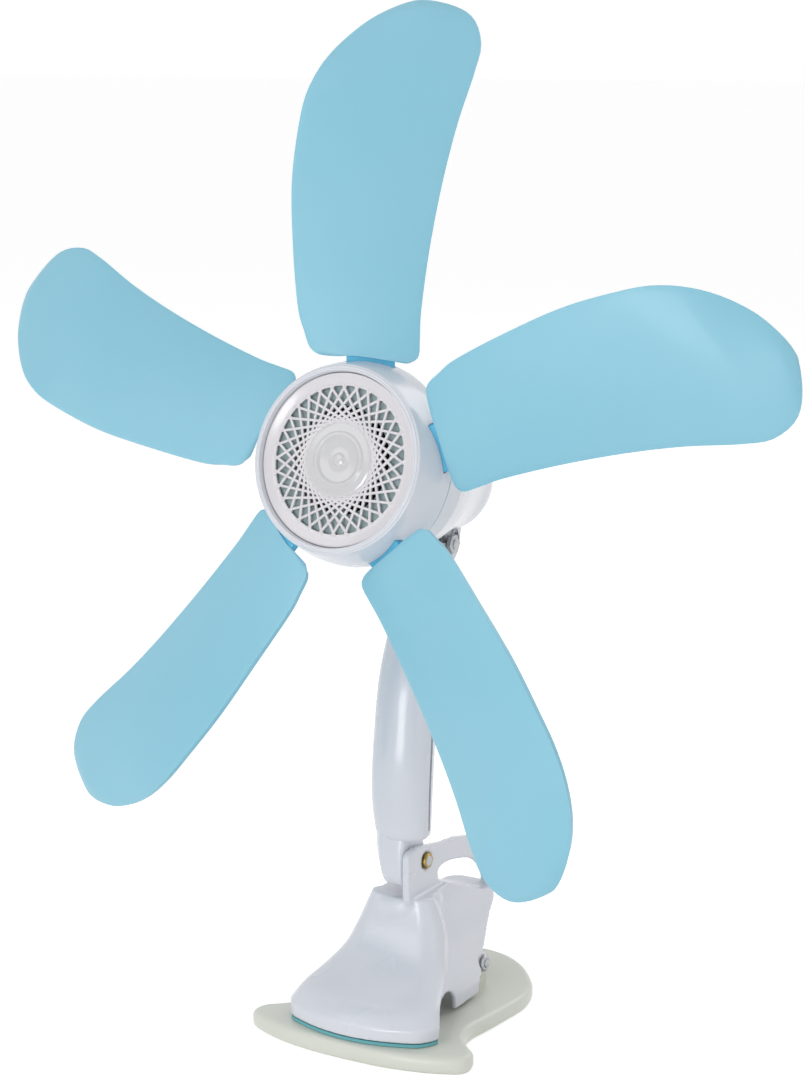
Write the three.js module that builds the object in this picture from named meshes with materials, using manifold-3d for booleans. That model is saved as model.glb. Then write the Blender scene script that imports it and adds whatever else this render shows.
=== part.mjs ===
// Clip fan: a five-bladed fan head on a bent arm that stands on, or clips by, a sprung jaw.
// Millimetres, +Z up, the fan faces -Y. The origin is the middle of the foot's flat underside.
import * as THREE from 'three';
import { mergeVertices } from 'three/addons/utils/BufferGeometryUtils.js';
import Module from 'manifold-3d';

const wasm = await Module();
wasm.setup();

// ---------------------------------------------------------------- driving dimensions
const GAP = 0.3;                 // clearance between neighbouring pieces

// fan head
const HUB_Y = 0;                 // middle of the grille plane, behind the foot's front edge
const HUB_Z = 273;               // and above the floor
const HEAD_TILT = 13.6;          // degrees, the face looks up
const ROTOR_REST = 5.7;          // degrees that the first blade leans over at rest
const BLADE_COUNT = 5;
const BLADE_REACH = 200;         // tip radius
const BLADE_THICK = 2.2;
const STEM_WIDTH = 21;
const STEM_THICK = 3.6;
const STEM_PITCH = 22;           // degrees, the blade's twist at its root
const STEM_DEPTH = 11.5;         // middle of the stem, behind the grille plane
const STEM_X = 8;                // and towards the leading edge
const ROOT_SLANT = 4.5;          // how much lower the leaf's leading corner ends
const DRUM_R = 45;               // widest part of the hub
const BLADE_ROOT = DRUM_R + 2;       // radius where the blade's root edge lies
const FACE_R = DRUM_R - 4;       // front rim of the hub
const DRUM_DEPTH = 20;
const DRUM_WALL = 2.4;
const GRILLE_R = FACE_R - 3.5;    // the grille's outer edge, in the rim's recess
const LATTICE_R = GRILLE_R - 5.5; // the open lattice's outer edge
const DISC_R = LATTICE_R / 2;    // the closed middle of the grille
const GRILLE_THICK = 2;
const WEB_BORE = LATTICE_R - 8.5; // hole in the drum's front web, behind the lattice
const RIB_COUNT = 14;            // ribs that lean each way
const RIB_WIDTH = 1.3;
const SHAFT_R = 2.5;
const BEARING_R = 6.5;
const BEARING_LENGTH = 6;
const STATOR_R = DRUM_R - 17.5;   // leaves room for the magnets, the can and the blade screws
const STATOR_BORE = 11;
const STATOR_HEIGHT = 12;
const MAGNET_WALL = 3.5;
const CAN_WALL = 1.4;
const HOUSING_R = DRUM_R - 4;    // the rear housing's open end
const HOUSING_END = 116;         // its round end, behind the grille plane
const DOME_R = 24.5;
const HOUSING_WALL = 2.2;

// arm
const NECK_Y = 86;               // head hinge
const NECK_Z = 222;
const ARM_TOP_WIDTH = 26;
const ARM_MID_WIDTH = 28;
const ARM_LOW_WIDTH = 27;
const ARM_WALL = 2.4;
const TONGUE_HALF = 3.8;         // half thickness of the arm's top eye
const ARM_FOOT_LEFT = 10;        // the arm's foot, to each side of the middle
const ARM_FOOT_RIGHT = 5.1;
const LUG_THICK = 3.6;           // the lug on the right that holds the arm's foot
const HEAD_BOLT_R = 2.5;
const FOOT_BOLT_R = 2.5;
const BOLT_Y = 62;               // foot hinge
const BOLT_Z = 77;
const EYE_R = 9;                 // round end about a hinge bolt

// clip
const FOOT_LENGTH = 138;
const FOOT_HALF = 57;            // half width at the front flare
const FOOT_THICK = 8;
const LOBE_HALF = 45;            // half width of the rear lobe
const WAIST_HALF = 41;
const LIP_HALF = 38.5;           // upper jaw's lip
const LIP_HEIGHT = 6;
const PAD_THICK = 1.4;
const JAW_WALL = 2.6;
const PIN_Y = 89;                // jaw hinge
const PIN_Z = 21;
const PIN_R = 2;
const EAR_THICK = 2.8;
const NOTCH_Y = 46;              // round groove for a rail
const NOTCH_Z = 11.6;
const NOTCH_R = 9.8;
const CHEEK_HALF = 28;           // the jaw's half width behind its shoulder
const SHOULDER_Y = 36;           // where the lip's flare has run out
const EAR_HALF = 21;             // outer faces of the foot's ears
const HANDLE_THICK = LUG_THICK;  // the plate of the handle loop, flush with the lug
const SPRING_WIRE = 1.8;
const SPRING_R = 6;              // to the middle of the wire
const SPRING_CURLS = 8.5;        // it starts under the pin and ends over it
const SPRING_PITCH = 3.95;

// ---------------------------------------------------------------- materials
const plastic = (color, roughness) => new THREE.MeshStandardMaterial({ color, roughness, metalness: 0 });
const metal = (color, roughness) => new THREE.MeshStandardMaterial({ color, roughness, metalness: 1 });
const WHITE = plastic(0xd9dce4, 0.35);
const CREAM = plastic(0xdedfd2, 0.42);
const BLUE = plastic(0x8fcfe2, 0.4);
const TEAL = plastic(0x6fb4bb, 0.8);
const BLACK = plastic(0x2a2c2e, 0.6);
const STEEL = metal(0xb9bcc0, 0.35);
const BRASS = metal(0xb49a52, 0.35);
const COPPER = metal(0xb06a3c, 0.4);

// ---------------------------------------------------------------- shape helpers
const rad = THREE.MathUtils.degToRad;
const V2 = (x, y) => new THREE.Vector2(x, y);
const V3 = (x, y, z) => new THREE.Vector3(x, y, z);

/** A closed mesh as a solid that can be cut and joined. */
function solid(geometry) {
  const g = geometry.clone();
  g.deleteAttribute('normal');
  g.deleteAttribute('uv');
  const m = mergeVertices(g, 1e-4);
  const make = (index) => new wasm.Manifold(new wasm.Mesh({
    numProp: 3,
    vertProperties: new Float32Array(m.attributes.position.array),
    triVerts: new Uint32Array(index),
  }));
  const body = make(m.index.array);
  return body.volume() < 0 ? make([...m.index.array].reverse()) : body;
}

/** The solid's mesh as a geometry. */
function geometryOf(body) {
  const mesh = body.getMesh();
  const g = new THREE.BufferGeometry();
  g.setAttribute('position', new THREE.BufferAttribute(new Float32Array(mesh.vertProperties), 3));
  g.setIndex(new THREE.BufferAttribute(new Uint32Array(mesh.triVerts), 1));
  return g;
}

const box = (x, y, z, at) => solid(new THREE.BoxGeometry(x, y, z).translate(at.x, at.y, at.z));

/** A rod between two points. */
function rod(a, b, radius, sides = 20) {
  const axis = b.clone().sub(a);
  const g = new THREE.CylinderGeometry(radius, radius, axis.length(), sides);
  g.applyQuaternion(new THREE.Quaternion().setFromUnitVectors(V3(0, 1, 0), axis.clone().normalize()));
  const mid = a.clone().add(b).multiplyScalar(0.5);
  return solid(g.translate(mid.x, mid.y, mid.z));
}

/** A rod along X about a hinge at (y, z). */
const crossRod = (x0, x1, y, z, r, sides = 20) => rod(V3(x0, y, z), V3(x1, y, z), r, sides);

/** A turned piece about +Z from [radius, height] pairs that start and end on the axis or close. */
function turned(pairs, segments = 40) {
  const g = new THREE.LatheGeometry(pairs.map(([r, z]) => V2(r, z)), segments);
  return solid(g.rotateX(Math.PI / 2));
}

/** A ring about +Z between two radii and two heights. */
const ring = (r0, r1, z0, z1, segments = 40) =>
  turned([[r0, z0], [r1, z0], [r1, z1], [r0, z1], [r0, z0]], segments);

/** A side outline of [y, z] points, drawn across X from x0 to x1. */
function slab(points, x0, x1) {
  const shape = new THREE.Shape(points.map(([y, z]) => V2(y, z)));
  const g = new THREE.ExtrudeGeometry(shape, { depth: x1 - x0, bevelEnabled: false });
  g.applyMatrix4(new THREE.Matrix4().makeBasis(V3(0, 1, 0), V3(0, 0, 1), V3(1, 0, 0)));
  return solid(g.translate(x0, 0, 0));
}

/** A plan outline of [x, y] points, drawn up from z0 to z1. */
function plate(points, z0, z1) {
  const shape = new THREE.Shape(points.map(([x, y]) => V2(x, y)));
  const g = new THREE.ExtrudeGeometry(shape, { depth: z1 - z0, bevelEnabled: false });
  return solid(g.translate(0, 0, z0));
}

/** A skin over rings of equally many points, closed by a fan at each end. */
function loft(rings) {
  const n = rings[0].length;
  const pos = [];
  rings.forEach((r) => r.forEach((p) => pos.push(p.x, p.y, p.z)));
  const idx = [];
  for (let j = 0; j + 1 < rings.length; j++) {
    for (let i = 0; i < n; i++) {
      const a = j * n + i;
      const b = j * n + (i + 1) % n;
      idx.push(a, b, b + n, a, b + n, a + n);
    }
  }
  const cap = (ringAt, flip) => {
    const r = rings[ringAt];
    const mid = r.reduce((s, p) => s.add(p), V3(0, 0, 0)).multiplyScalar(1 / n);
    const c = pos.length / 3;
    pos.push(mid.x, mid.y, mid.z);
    for (let i = 0; i < n; i++) {
      const a = ringAt * n + i;
      const b = ringAt * n + (i + 1) % n;
      idx.push(...(flip ? [c, b, a] : [c, a, b]));
    }
  };
  cap(0, true);
  cap(rings.length - 1, false);
  const g = new THREE.BufferGeometry();
  g.setAttribute('position', new THREE.Float32BufferAttribute(pos, 3));
  g.setIndex(idx);
  return solid(g);
}

/** A rounded plan section at height z from y0 to y1, w to each side in front, cheek at the shoulder, rear at the end. */
function section(w, cheek, rear, y0, y1, z, corner, bow = 0, steps = 3) {
  const r = Math.min(corner, rear * 0.95, (y1 - y0) * 0.48);
  const centres = [[w - r, y0 + r, -90], [rear - r, y1 - r, 0], [-rear + r, y1 - r, 90], [-w + r, y0 + r, 180]];
  const shoulder = Math.max(SHOULDER_Y, y0 + r + 2);
  const points = [];
  centres.forEach(([cx, cy, start], corner) => {
    if (corner === 1) points.push(V3(cheek, shoulder, z));
    if (corner === 3) points.push(V3(-cheek, shoulder, z));
    for (let k = 0; k <= steps; k++) {
      const a = rad(start + 90 * k / steps);
      const x = cx + r * Math.cos(a);
      const y = cy + r * Math.sin(a);
      const front = Math.max(0, (y0 + r - y) / r);
      points.push(V3(x, y - bow * front * (1 - (x / w) ** 2), z));
    }
  });
  const bowed = 3;               // extra points along the bowed front edge
  for (let k = 1; k <= bowed; k++) {
    const x = -(w - r) + 2 * (w - r) * k / (bowed + 1);
    points.push(V3(x, y0 - bow * (1 - (x / w) ** 2), z));
  }
  return points;
}

const group = new THREE.Group();
const frame = new THREE.Group();              // measured from the foot's front edge
frame.position.y = -FOOT_LENGTH / 2;
group.add(frame);
const head = new THREE.Group();               // rotor frame: +Z out of the face, +Y up the face
head.position.set(0, HUB_Y, HUB_Z);
head.rotation.x = rad(90 - HEAD_TILT);
frame.add(head);
const rotor = new THREE.Group();
rotor.rotation.z = rad(ROTOR_REST);
head.add(rotor);

/** Adds a solid to a group as a named piece. */
function add(parent, name, body, material) {
  const mesh = new THREE.Mesh(geometryOf(body), material);
  mesh.name = name;
  parent.add(mesh);
  return mesh;
}

// ---------------------------------------------------------------- blades
/** A value along the blade from [share of reach, value] pairs, smoothly joined. */
function along(pairs, t) {
  const curve = new THREE.SplineCurve(pairs.map(([a, b]) => V2(a, b)));
  let lo = 0;
  let hi = 1;
  for (let k = 0; k < 24; k++) {
    const mid = (lo + hi) / 2;
    if (curve.getPoint(mid).x < t) lo = mid; else hi = mid;
  }
  return curve.getPoint(lo).y;
}
const TRAIL = [[0.235, -17], [0.33, -21.6], [0.46, -23], [0.6, -23.4], [0.725, -21], [0.84, -16.8],
  [0.928, -6.2], [0.985, 9], [1, 20]];
const LEAD = [[0.235, 28], [0.33, 28.4], [0.46, 31.5], [0.6, 36], [0.725, 41.5], [0.84, 48.3],
  [0.905, 50.6], [0.965, 45.5], [1, 30]];
const ARCH = [[0.235, -9], [0.46, -5], [0.725, -2.6], [0.84, -3.6], [0.93, -7.4], [1, -10.5]];
const SLOPE = [[0.235, -0.33], [0.46, -0.42], [0.725, -0.44], [0.93, -0.34], [1, -0.32]];
const CAMBER = 2.2;              // how far the blade's middle bows to the front

const STATIONS = [0.235, 0.27, 0.31, 0.4, 0.5, 0.6, 0.7, 0.78, 0.85, 0.9, 0.94, 0.97, 0.99, 1];
/** The blade's middle surface at share t of the reach and share u from trailing to leading edge. */
function bladePoint(t, u) {
  const x0 = along(TRAIL, t);
  const x1 = along(LEAD, t);
  const x = x0 + (x1 - x0) * u;
  const y = t * BLADE_REACH - ROOT_SLANT * u ** 4 * Math.max(0, 1 - (t - STATIONS[0]) / 0.07);
  return V3(x, y, along(ARCH, t) + along(SLOPE, t) * x + CAMBER * 4 * u * (1 - u));
}
const ACROSS = 5;
function bladeBody() {
  const rings = STATIONS.map((t) => {
    const front = [];
    const back = [];
    for (let i = 0; i <= ACROSS; i++) {
      const u = i / ACROSS;
      const p = bladePoint(t, u);
      const half = BLADE_THICK / 2 * (i === 0 || i === ACROSS ? 0.45 : 1);
      front.push(p.clone().add(V3(0.38 * half, 0, half)));
      back.unshift(p.clone().sub(V3(0.38 * half, 0, half)));
    }
    return front.concat(back);
  });
  return loft(rings);
}

/** The stem that joins a blade to the drum: a flat tab, turned to the blade's pitch. */
function stemBody(clear = 0, inner = DRUM_R - DRUM_WALL - 8, outer = BLADE_ROOT + 9) {
  const g = new THREE.BoxGeometry(STEM_WIDTH + 2 * clear, outer - inner, STEM_THICK + 2 * clear);
  g.rotateY(rad(STEM_PITCH));
  return solid(g.translate(STEM_X, (inner + outer) / 2, -STEM_DEPTH));
}
const stemScrewAt = () => V3(STEM_X, DRUM_R - DRUM_WALL - 4.5, -STEM_DEPTH);
const stemAxis = V3(Math.sin(rad(STEM_PITCH)), 0, Math.cos(rad(STEM_PITCH)));
const blade = bladeBody().add(stemBody())
  .subtract(rod(stemScrewAt().addScaledVector(stemAxis, -9), stemScrewAt().addScaledVector(stemAxis, 9), 1.3, 10));
for (let k = 0; k < BLADE_COUNT; k++) {
  const mesh = add(rotor, `blade_${k + 1}`, blade, BLUE);
  mesh.rotation.z = -2 * Math.PI * k / BLADE_COUNT;
}

// ---------------------------------------------------------------- hub
const rimDepth = 3;              // the rim stands this far in front of the grille plane
const floorZ = -GRILLE_THICK - GAP;
let shell = turned([
  [GRILLE_R + GAP, rimDepth - 1], [GRILLE_R + 1.2, rimDepth], [FACE_R - 1.5, rimDepth - 0.5], [FACE_R, rimDepth - 2.5],
  [FACE_R + 1.6, -4], [DRUM_R - 0.8, -14], [DRUM_R, -DRUM_DEPTH + 3], [DRUM_R, -DRUM_DEPTH],
  [DRUM_R - DRUM_WALL, -DRUM_DEPTH], [DRUM_R - DRUM_WALL, -13], [FACE_R - 2.2, floorZ - 2.4],
  [LATTICE_R + 2, floorZ - 2.4], [LATTICE_R + 2, floorZ], [GRILLE_R + GAP, floorZ], [GRILLE_R + GAP, rimDepth - 1],
], 40);
const spiderZ = floorZ - 4;      // spokes that carry the rotor can behind the grille
const hubSpokes = [0, 1, 2, 3, 4].map((k) => solid(
  new THREE.BoxGeometry(5, LATTICE_R - 8, 2).translate(0, (LATTICE_R + 8) / 2 + 3, 0)
    .rotateZ(-2 * Math.PI * (k + 0.5) / BLADE_COUNT).translate(0, 0, floorZ - 1.3)));
shell = hubSpokes.reduce((a, b) => a.add(b), shell)
  .add(ring(SHAFT_R + GAP, 13, spiderZ - 3, floorZ - 0.6, 24))
  .add(ring(WEB_BORE, LATTICE_R + 2.5, floorZ - 2.4, floorZ - 0.6, 40));
for (let k = 0; k < BLADE_COUNT; k++) {
  const slot = stemBody(GAP, DRUM_R - 12, DRUM_R + 8).rotate([0, 0, -360 * k / BLADE_COUNT]);
  shell = shell.subtract(slot);
}
add(rotor, 'rotor_shell', shell, WHITE);

const ribAt = DISC_R - RIB_WIDTH;               // each rib runs beside the middle at this distance
const ribReach = Math.sqrt((LATTICE_R + 1.5) ** 2 - ribAt ** 2);
const ribDepth = GRILLE_THICK - 0.7;
let grille = ring(LATTICE_R, GRILLE_R, -GRILLE_THICK, 0, 40)
  .add(turned([[0, -GRILLE_THICK], [DISC_R, -GRILLE_THICK], [DISC_R, -0.4], [11.4, -0.4], [11, 0.4], [10, 0.4],
    [9.4, -0.8], [3.2, -1.1], [2.4, -0.2], [0, 0]], 28));
for (let k = 0; k < RIB_COUNT; k++) {
  [-1, 1].forEach((side) => {
    const bar = new THREE.BoxGeometry(RIB_WIDTH, ribReach, ribDepth)
      .translate(side * ribAt, ribReach / 2, -GRILLE_THICK / 2 - 0.2 + 0.08 * side)
      .rotateZ(2 * Math.PI * (k + 0.25 * (1 + side)) / RIB_COUNT);
    grille = grille.add(solid(bar));
  });
}
add(rotor, 'front_grille', grille, WHITE);

// screws that hold the stems in the drum
for (let k = 0; k < BLADE_COUNT; k++) {
  const at = stemScrewAt();
  const under = STEM_THICK / 2 + GAP;
  const head0 = at.clone().addScaledVector(stemAxis, -under);
  const screw = rod(head0, head0.clone().addScaledVector(stemAxis, -1.6), 2.4, 12)
    .add(rod(head0.clone().addScaledVector(stemAxis, -0.8), at.clone().addScaledVector(stemAxis, 1.2), 0.95, 8));
  const mesh = add(rotor, `blade_screw_${k + 1}`, screw, STEEL);
  mesh.rotation.z = -2 * Math.PI * k / BLADE_COUNT;
}

// ---------------------------------------------------------------- motor
const canTop = spiderZ - 3 - GAP;
const canR = STATOR_R + GAP + 0.4 + MAGNET_WALL + GAP + CAN_WALL;
const statorTop = canTop - 5;
const statorLow = statorTop - STATOR_HEIGHT;
const canLow = statorLow - 1;
const baseZ = canLow - 1.8;                     // motor plate behind the turning can
add(rotor, 'rotor_can', turned([[SHAFT_R + GAP, canTop], [canR, canTop], [canR, canLow], [canR - CAN_WALL, canLow],
  [canR - CAN_WALL, canTop - CAN_WALL], [SHAFT_R + GAP, canTop - CAN_WALL], [SHAFT_R + GAP, canTop]], 32), STEEL);
add(rotor, 'magnet_ring', ring(STATOR_R + 0.7, canR - CAN_WALL - GAP, canLow + 0.4, canTop - CAN_WALL - GAP, 32), BLACK);
const toothMid = (STATOR_R + STATOR_BORE) / 2 - 0.8;
let core = ring(STATOR_BORE - 3.5, STATOR_BORE, statorLow, statorTop, 32);
for (let k = 0; k < 8; k++) {
  const tooth = new THREE.BoxGeometry(4, STATOR_R - STATOR_BORE, STATOR_HEIGHT - 4)
    .translate(0, toothMid, (statorLow + statorTop) / 2);
  const shoe = new THREE.BoxGeometry(12, 2.2, STATOR_HEIGHT - 4)
    .translate(0, STATOR_R - 2.2, (statorLow + statorTop) / 2);
  [tooth, shoe].forEach((g) => { core = core.add(solid(g.rotateZ(Math.PI / 4 * k))); });
}
add(head, 'stator_core', core, STEEL);
const coilLength = (STATOR_R - STATOR_BORE) / 2;
for (let k = 0; k < 8; k++) {
  const outer = new THREE.BoxGeometry(7.2, coilLength, STATOR_HEIGHT - 0.8);
  const inner = new THREE.BoxGeometry(4 + 2 * GAP, coilLength + 1, STATOR_HEIGHT - 4 + 2 * GAP);
  const coil = solid(outer).subtract(solid(inner)).translate([0, toothMid, (statorLow + statorTop) / 2])
    .rotate([0, 0, 45 * k]);
  add(head, `stator_coil_${k + 1}`, coil, COPPER);
}
add(rotor, 'rotor_shaft', rod(V3(0, 0, floorZ - 0.4), V3(0, 0, baseZ - 14), SHAFT_R, 24), STEEL);
const tubeR = STATOR_BORE - 3.5 - GAP;
const tubeWall = 1;
[['front_bearing', statorTop - 1], ['rear_bearing', baseZ - 3]].forEach(([name, top]) => {
  add(head, name, ring(SHAFT_R + 0.05, BEARING_R - 0.6, top - BEARING_LENGTH, top, 24), BRASS);
});
// the motor plate and the tube that holds the bearings are one moulding
const seatR = BEARING_R - 0.6 + GAP;
const plateR = HOUSING_R - HOUSING_WALL - 2 * GAP;
const throatR = SHAFT_R + 0.6;
const shelf = statorTop - BEARING_LENGTH - 1.4;
const motorBase = turned([[seatR, statorTop], [tubeR, statorTop], [tubeR, baseZ], [plateR, baseZ], [plateR, baseZ - 2],
  [tubeR, baseZ - 2], [tubeR, baseZ - 11], [throatR, baseZ - 11], [throatR, baseZ - 9.5], [seatR, baseZ - 9.5],
  [seatR, shelf - 1.2], [throatR, shelf - 1.2], [throatR, shelf], [seatR, shelf], [seatR, statorTop]], 28);
add(head, 'motor_base', motorBase, BLACK);
add(rotor, 'shaft_clip', ring(SHAFT_R + 0.05, 4.2, baseZ - 12.4, baseZ - 11.4, 20), STEEL);

// rear housing: a bullet that closes behind the drum, with two ribs for the arm's eye
const domeAt = -(HOUSING_END - DOME_R);
const housingFront = -DRUM_DEPTH - GAP - 0.9;
function bullet(inset, front, flange) {
  const pairs = [[0, front], ...flange, [HOUSING_R - inset - 0.6, -40], [37 - inset, -54],
    [31 - inset, -72], [DOME_R + 1 - inset, domeAt + 4]];
  for (let k = 1; k <= 6; k++) {
    const a = rad(90 * k / 6);
    pairs.push([k === 6 ? 0 : (DOME_R - inset) * Math.cos(a), domeAt - (DOME_R - inset) * Math.sin(a)]);
  }
  return turned(pairs, 32);
}
const toHead = (y, z) => {       // a point of the side view, in the rotor frame
  const p = V3(0, y - HUB_Y, z - HUB_Z).applyAxisAngle(V3(1, 0, 0), -rad(90 - HEAD_TILT));
  return V3(0, p.y, p.z);
};
const neck = toHead(NECK_Y, NECK_Z);
const flangeR = DRUM_R - 1;
let housing = bullet(0, housingFront, [[flangeR, housingFront], [flangeR, housingFront - 2.6], [HOUSING_R, housingFront - 4]]);
const ribHalf = TONGUE_HALF + GAP + 3;
const rib = (x0, x1) => rod(V3(x0, neck.y, neck.z), V3(x1, neck.y, neck.z), EYE_R, 28)
  .add(box(x1 - x0, 14, 2 * EYE_R, V3((x0 + x1) / 2, neck.y + 7, neck.z)));
housing = housing.add(rib(-ribHalf, ribHalf)).subtract(bullet(HOUSING_WALL, housingFront + 1, [[HOUSING_R - HOUSING_WALL, housingFront + 1]]));
const cheekGap = TONGUE_HALF + GAP;
const tongueSpace = rod(V3(-cheekGap, neck.y, neck.z), V3(cheekGap, neck.y, neck.z), EYE_R + 1, 28)
  .add(box(2 * cheekGap, 34, 2 * EYE_R + 8, V3(0, neck.y - 14, neck.z)));
housing = housing.subtract(tongueSpace)
  .subtract(crossRod(-60, 60, 0, 0, HEAD_BOLT_R + 0.15).translate([0, neck.y, neck.z]));
for (let k = -2; k <= 2; k++) {                // air slots in the round end
  housing = housing.subtract(box(3, 16 - 2 * Math.abs(k), 30, V3(k * 6.4, 4, -HOUSING_END)));
}
add(head, 'rear_housing', housing, WHITE);

// ---------------------------------------------------------------- hinge bolts
/** A bolt along X with its head at x0 and its end at x1. */
function bolt(y, z, r, x0, x1) {
  return crossRod(x0, x1, y, z, r, 20).add(crossRod(x0, x0 + 2.4, y, z, r * 1.75, 24));
}
/** A six-sided nut on a bolt. */
const nut = (y, z, r, x0, x1) => crossRod(x0, x1, y, z, r * 1.9, 6).subtract(crossRod(x0 - 1, x1 + 1, y, z, r + 0.15, 20));

const headBolt = bolt(NECK_Y, NECK_Z, HEAD_BOLT_R, -ribHalf - GAP - 2.4, ribHalf + 3.6);
add(frame, 'head_bolt', headBolt, STEEL);
add(frame, 'head_nut', nut(NECK_Y, NECK_Z, HEAD_BOLT_R, ribHalf + GAP, ribHalf + 3), STEEL);

// ---------------------------------------------------------------- arm
const armLine = new THREE.CatmullRomCurve3([V3(0, NECK_Y - 3, NECK_Z - 15), V3(0, 76.5, 196), V3(0, 68.5, 182),
  V3(0, 60.6, 162), V3(0, 57, 138), V3(0, 54.6, 110), V3(0, 56, 90)]);
function armRing(t, shrink) {
  const p = armLine.getPointAt(t);
  const d = armLine.getTangentAt(t);
  const side = V3(0, -d.z, d.y);               // across the arm in the side view
  const wide = along([[0, ARM_TOP_WIDTH], [0.35, ARM_MID_WIDTH], [0.8, ARM_MID_WIDTH + 1.5], [1, ARM_LOW_WIDTH]], t) / 2;
  const deep = wide * (0.86 - 0.14 * Math.max(0, t - 0.7) / 0.3);
  const points = [];
  for (let k = 0; k < 16; k++) {
    const a = 2 * Math.PI * k / 16;
    points.push(p.clone().add(V3((wide - shrink) * Math.cos(a), 0, 0))
      .addScaledVector(side, (deep - shrink) * Math.sin(a)));
  }
  return points;
}
const armSteps = 10;
const armTube = (shrink, from, to) => loft(Array.from({ length: armSteps + 1 },
  (_, k) => armRing(from + (to - from) * k / armSteps, shrink)));
const eyeTop = crossRod(-TONGUE_HALF, TONGUE_HALF, NECK_Y, NECK_Z, EYE_R, 28)
  .add(box(2 * TONGUE_HALF, 13, 18, V3(0, NECK_Y - 1.5, NECK_Z - 9)));
const tongueOutline = [[45.5, 96], [45, 76], [47, 69], [52, 66.5], [62, 67.8], [70, 72.5], [71, 79], [68, 86], [66, 96]];
const tongue = slab(tongueOutline, -ARM_FOOT_LEFT, ARM_FOOT_RIGHT);
let arm = armTube(0, 0, 1).add(eyeTop).add(tongue)
  .subtract(armTube(ARM_WALL, 0.08, 0.9))
  .subtract(crossRod(-40, 40, NECK_Y, NECK_Z, HEAD_BOLT_R + 0.15))
  .subtract(crossRod(-40, 40, BOLT_Y, BOLT_Z, FOOT_BOLT_R + 0.15));
const leadHole = armLine.getPointAt(0.8);      // the lead leaves low at the arm's back
const glandR = 5;
arm = arm.subtract(rod(V3(0, leadHole.y + 4, leadHole.z), V3(0, leadHole.y + 30, leadHole.z), glandR + GAP, 20))
  .subtract(rod(V3(0, NECK_Y - 20, NECK_Z - 26), V3(0, NECK_Y + 20, NECK_Z - 18), 3, 14));
// the arm is two half shells, split front from back along its own line
const splitSide = (front) => {
  const pts = armLine.getPoints(14).map((p) => [p.y, p.z]);
  const start = [NECK_Y, NECK_Z + 30];
  const end = [BOLT_Y, BOLT_Z - 30];
  const far = front ? -60 : 200;
  const edge = [start, ...pts, end].map(([y, z]) => [y + (front ? -GAP / 2 : GAP / 2), z]);
  return slab([...edge, [far, BOLT_Z - 30], [far, NECK_Z + 30]], -60, 60);
};
const centreEye = crossRod(-TONGUE_HALF - 1, TONGUE_HALF + 1, NECK_Y, NECK_Z, EYE_R + 2, 28)
  .add(box(2 * TONGUE_HALF + 2, 40, 12, V3(0, NECK_Y, NECK_Z - 6)));
const centreFoot = slab([[30, 60], [90, 60], [90, 92], [30, 92]], -30, 30);
const keepFront = splitSide(true).add(centreFoot).subtract(centreEye);
const keepRear = splitSide(false).subtract(centreFoot.add(slab([[30, 91], [90, 91], [90, 92 + GAP], [30, 92 + GAP]], -30, 30)))
  .add(centreEye);
const armFront = arm.intersect(keepFront.subtract(centreEye.add(box(12, 46, 14, V3(0, NECK_Y, NECK_Z - 6)))));
const armRear = arm.intersect(keepRear);
const biggest = (body) => body.decompose().sort((a, b) => b.volume() - a.volume())[0];
add(frame, 'arm_front', biggest(armFront), WHITE);
add(frame, 'arm_rear', biggest(armRear), WHITE);

// the lead's bush at the back of the arm
const bushAt = leadHole.y + 8;
add(frame, 'lead_bush', rod(V3(0, bushAt, leadHole.z), V3(0, bushAt + 11, leadHole.z), glandR, 20)
  .add(rod(V3(0, bushAt + 7, leadHole.z), V3(0, bushAt + 9.4, leadHole.z), glandR + 1.4, 20))
  .subtract(rod(V3(0, bushAt - 1, leadHole.z), V3(0, bushAt + 12, leadHole.z), 3, 16)), BLACK);

// ---------------------------------------------------------------- lower jaw: the foot
function footOutline(inset = 0) {
  const half = [[0, 0], [20, 0.8], [38, 4.4], [50, 9], [55.5, 12.5], [FOOT_HALF, 17], [55.5, 22.5], [50, 27.5], [45, 33],
    [WAIST_HALF + 1, 41], [WAIST_HALF, 50], [42.5, 62], [LOBE_HALF - 0.8, 78], [LOBE_HALF, 93], [42, 106], [35, 117],
    [25, 128], [13, 135.5], [0, FOOT_LENGTH]];
  const points = half.map(([x, y]) => [Math.max(0, x - inset), y + (y < 20 ? inset : 0) - (y > 120 ? inset : 0)]);
  const left = points.slice(1, -1).reverse().map(([x, y]) => [-x, y]);
  return points.concat(left);
}
const padTop = FOOT_THICK + GAP + PAD_THICK;
const earOutline = [[PIN_Y - 11, FOOT_THICK - 1], [PIN_Y - 6, PIN_Z - 1], [PIN_Y - 4, PIN_Z + 3.4], [PIN_Y, PIN_Z + 5],
  [PIN_Y + 4, PIN_Z + 3.4], [PIN_Y + 6, PIN_Z - 1], [PIN_Y + 11, FOOT_THICK - 1]];
let foot = plate(footOutline(), 2, FOOT_THICK - 1.5)
  .add(plate(footOutline(1.3), 0, FOOT_THICK))
  .subtract(plate(footOutline(4), -1, FOOT_THICK - 3).subtract(
    plate([[-6, 0], [6, 0], [6, FOOT_LENGTH], [-6, FOOT_LENGTH]], -1, FOOT_THICK)
      .add(plate([[-60, 60], [60, 60], [60, 74], [-60, 74]], -1, FOOT_THICK))));
[-1, 1].forEach((side) => {
  const x0 = side > 0 ? EAR_HALF - EAR_THICK : -EAR_HALF;
  foot = foot.add(slab(earOutline, x0, x0 + EAR_THICK));
});
foot = foot.subtract(crossRod(-30, 30, PIN_Y, PIN_Z, PIN_R + 0.1));
add(frame, 'lower_jaw', foot, CREAM);

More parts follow.
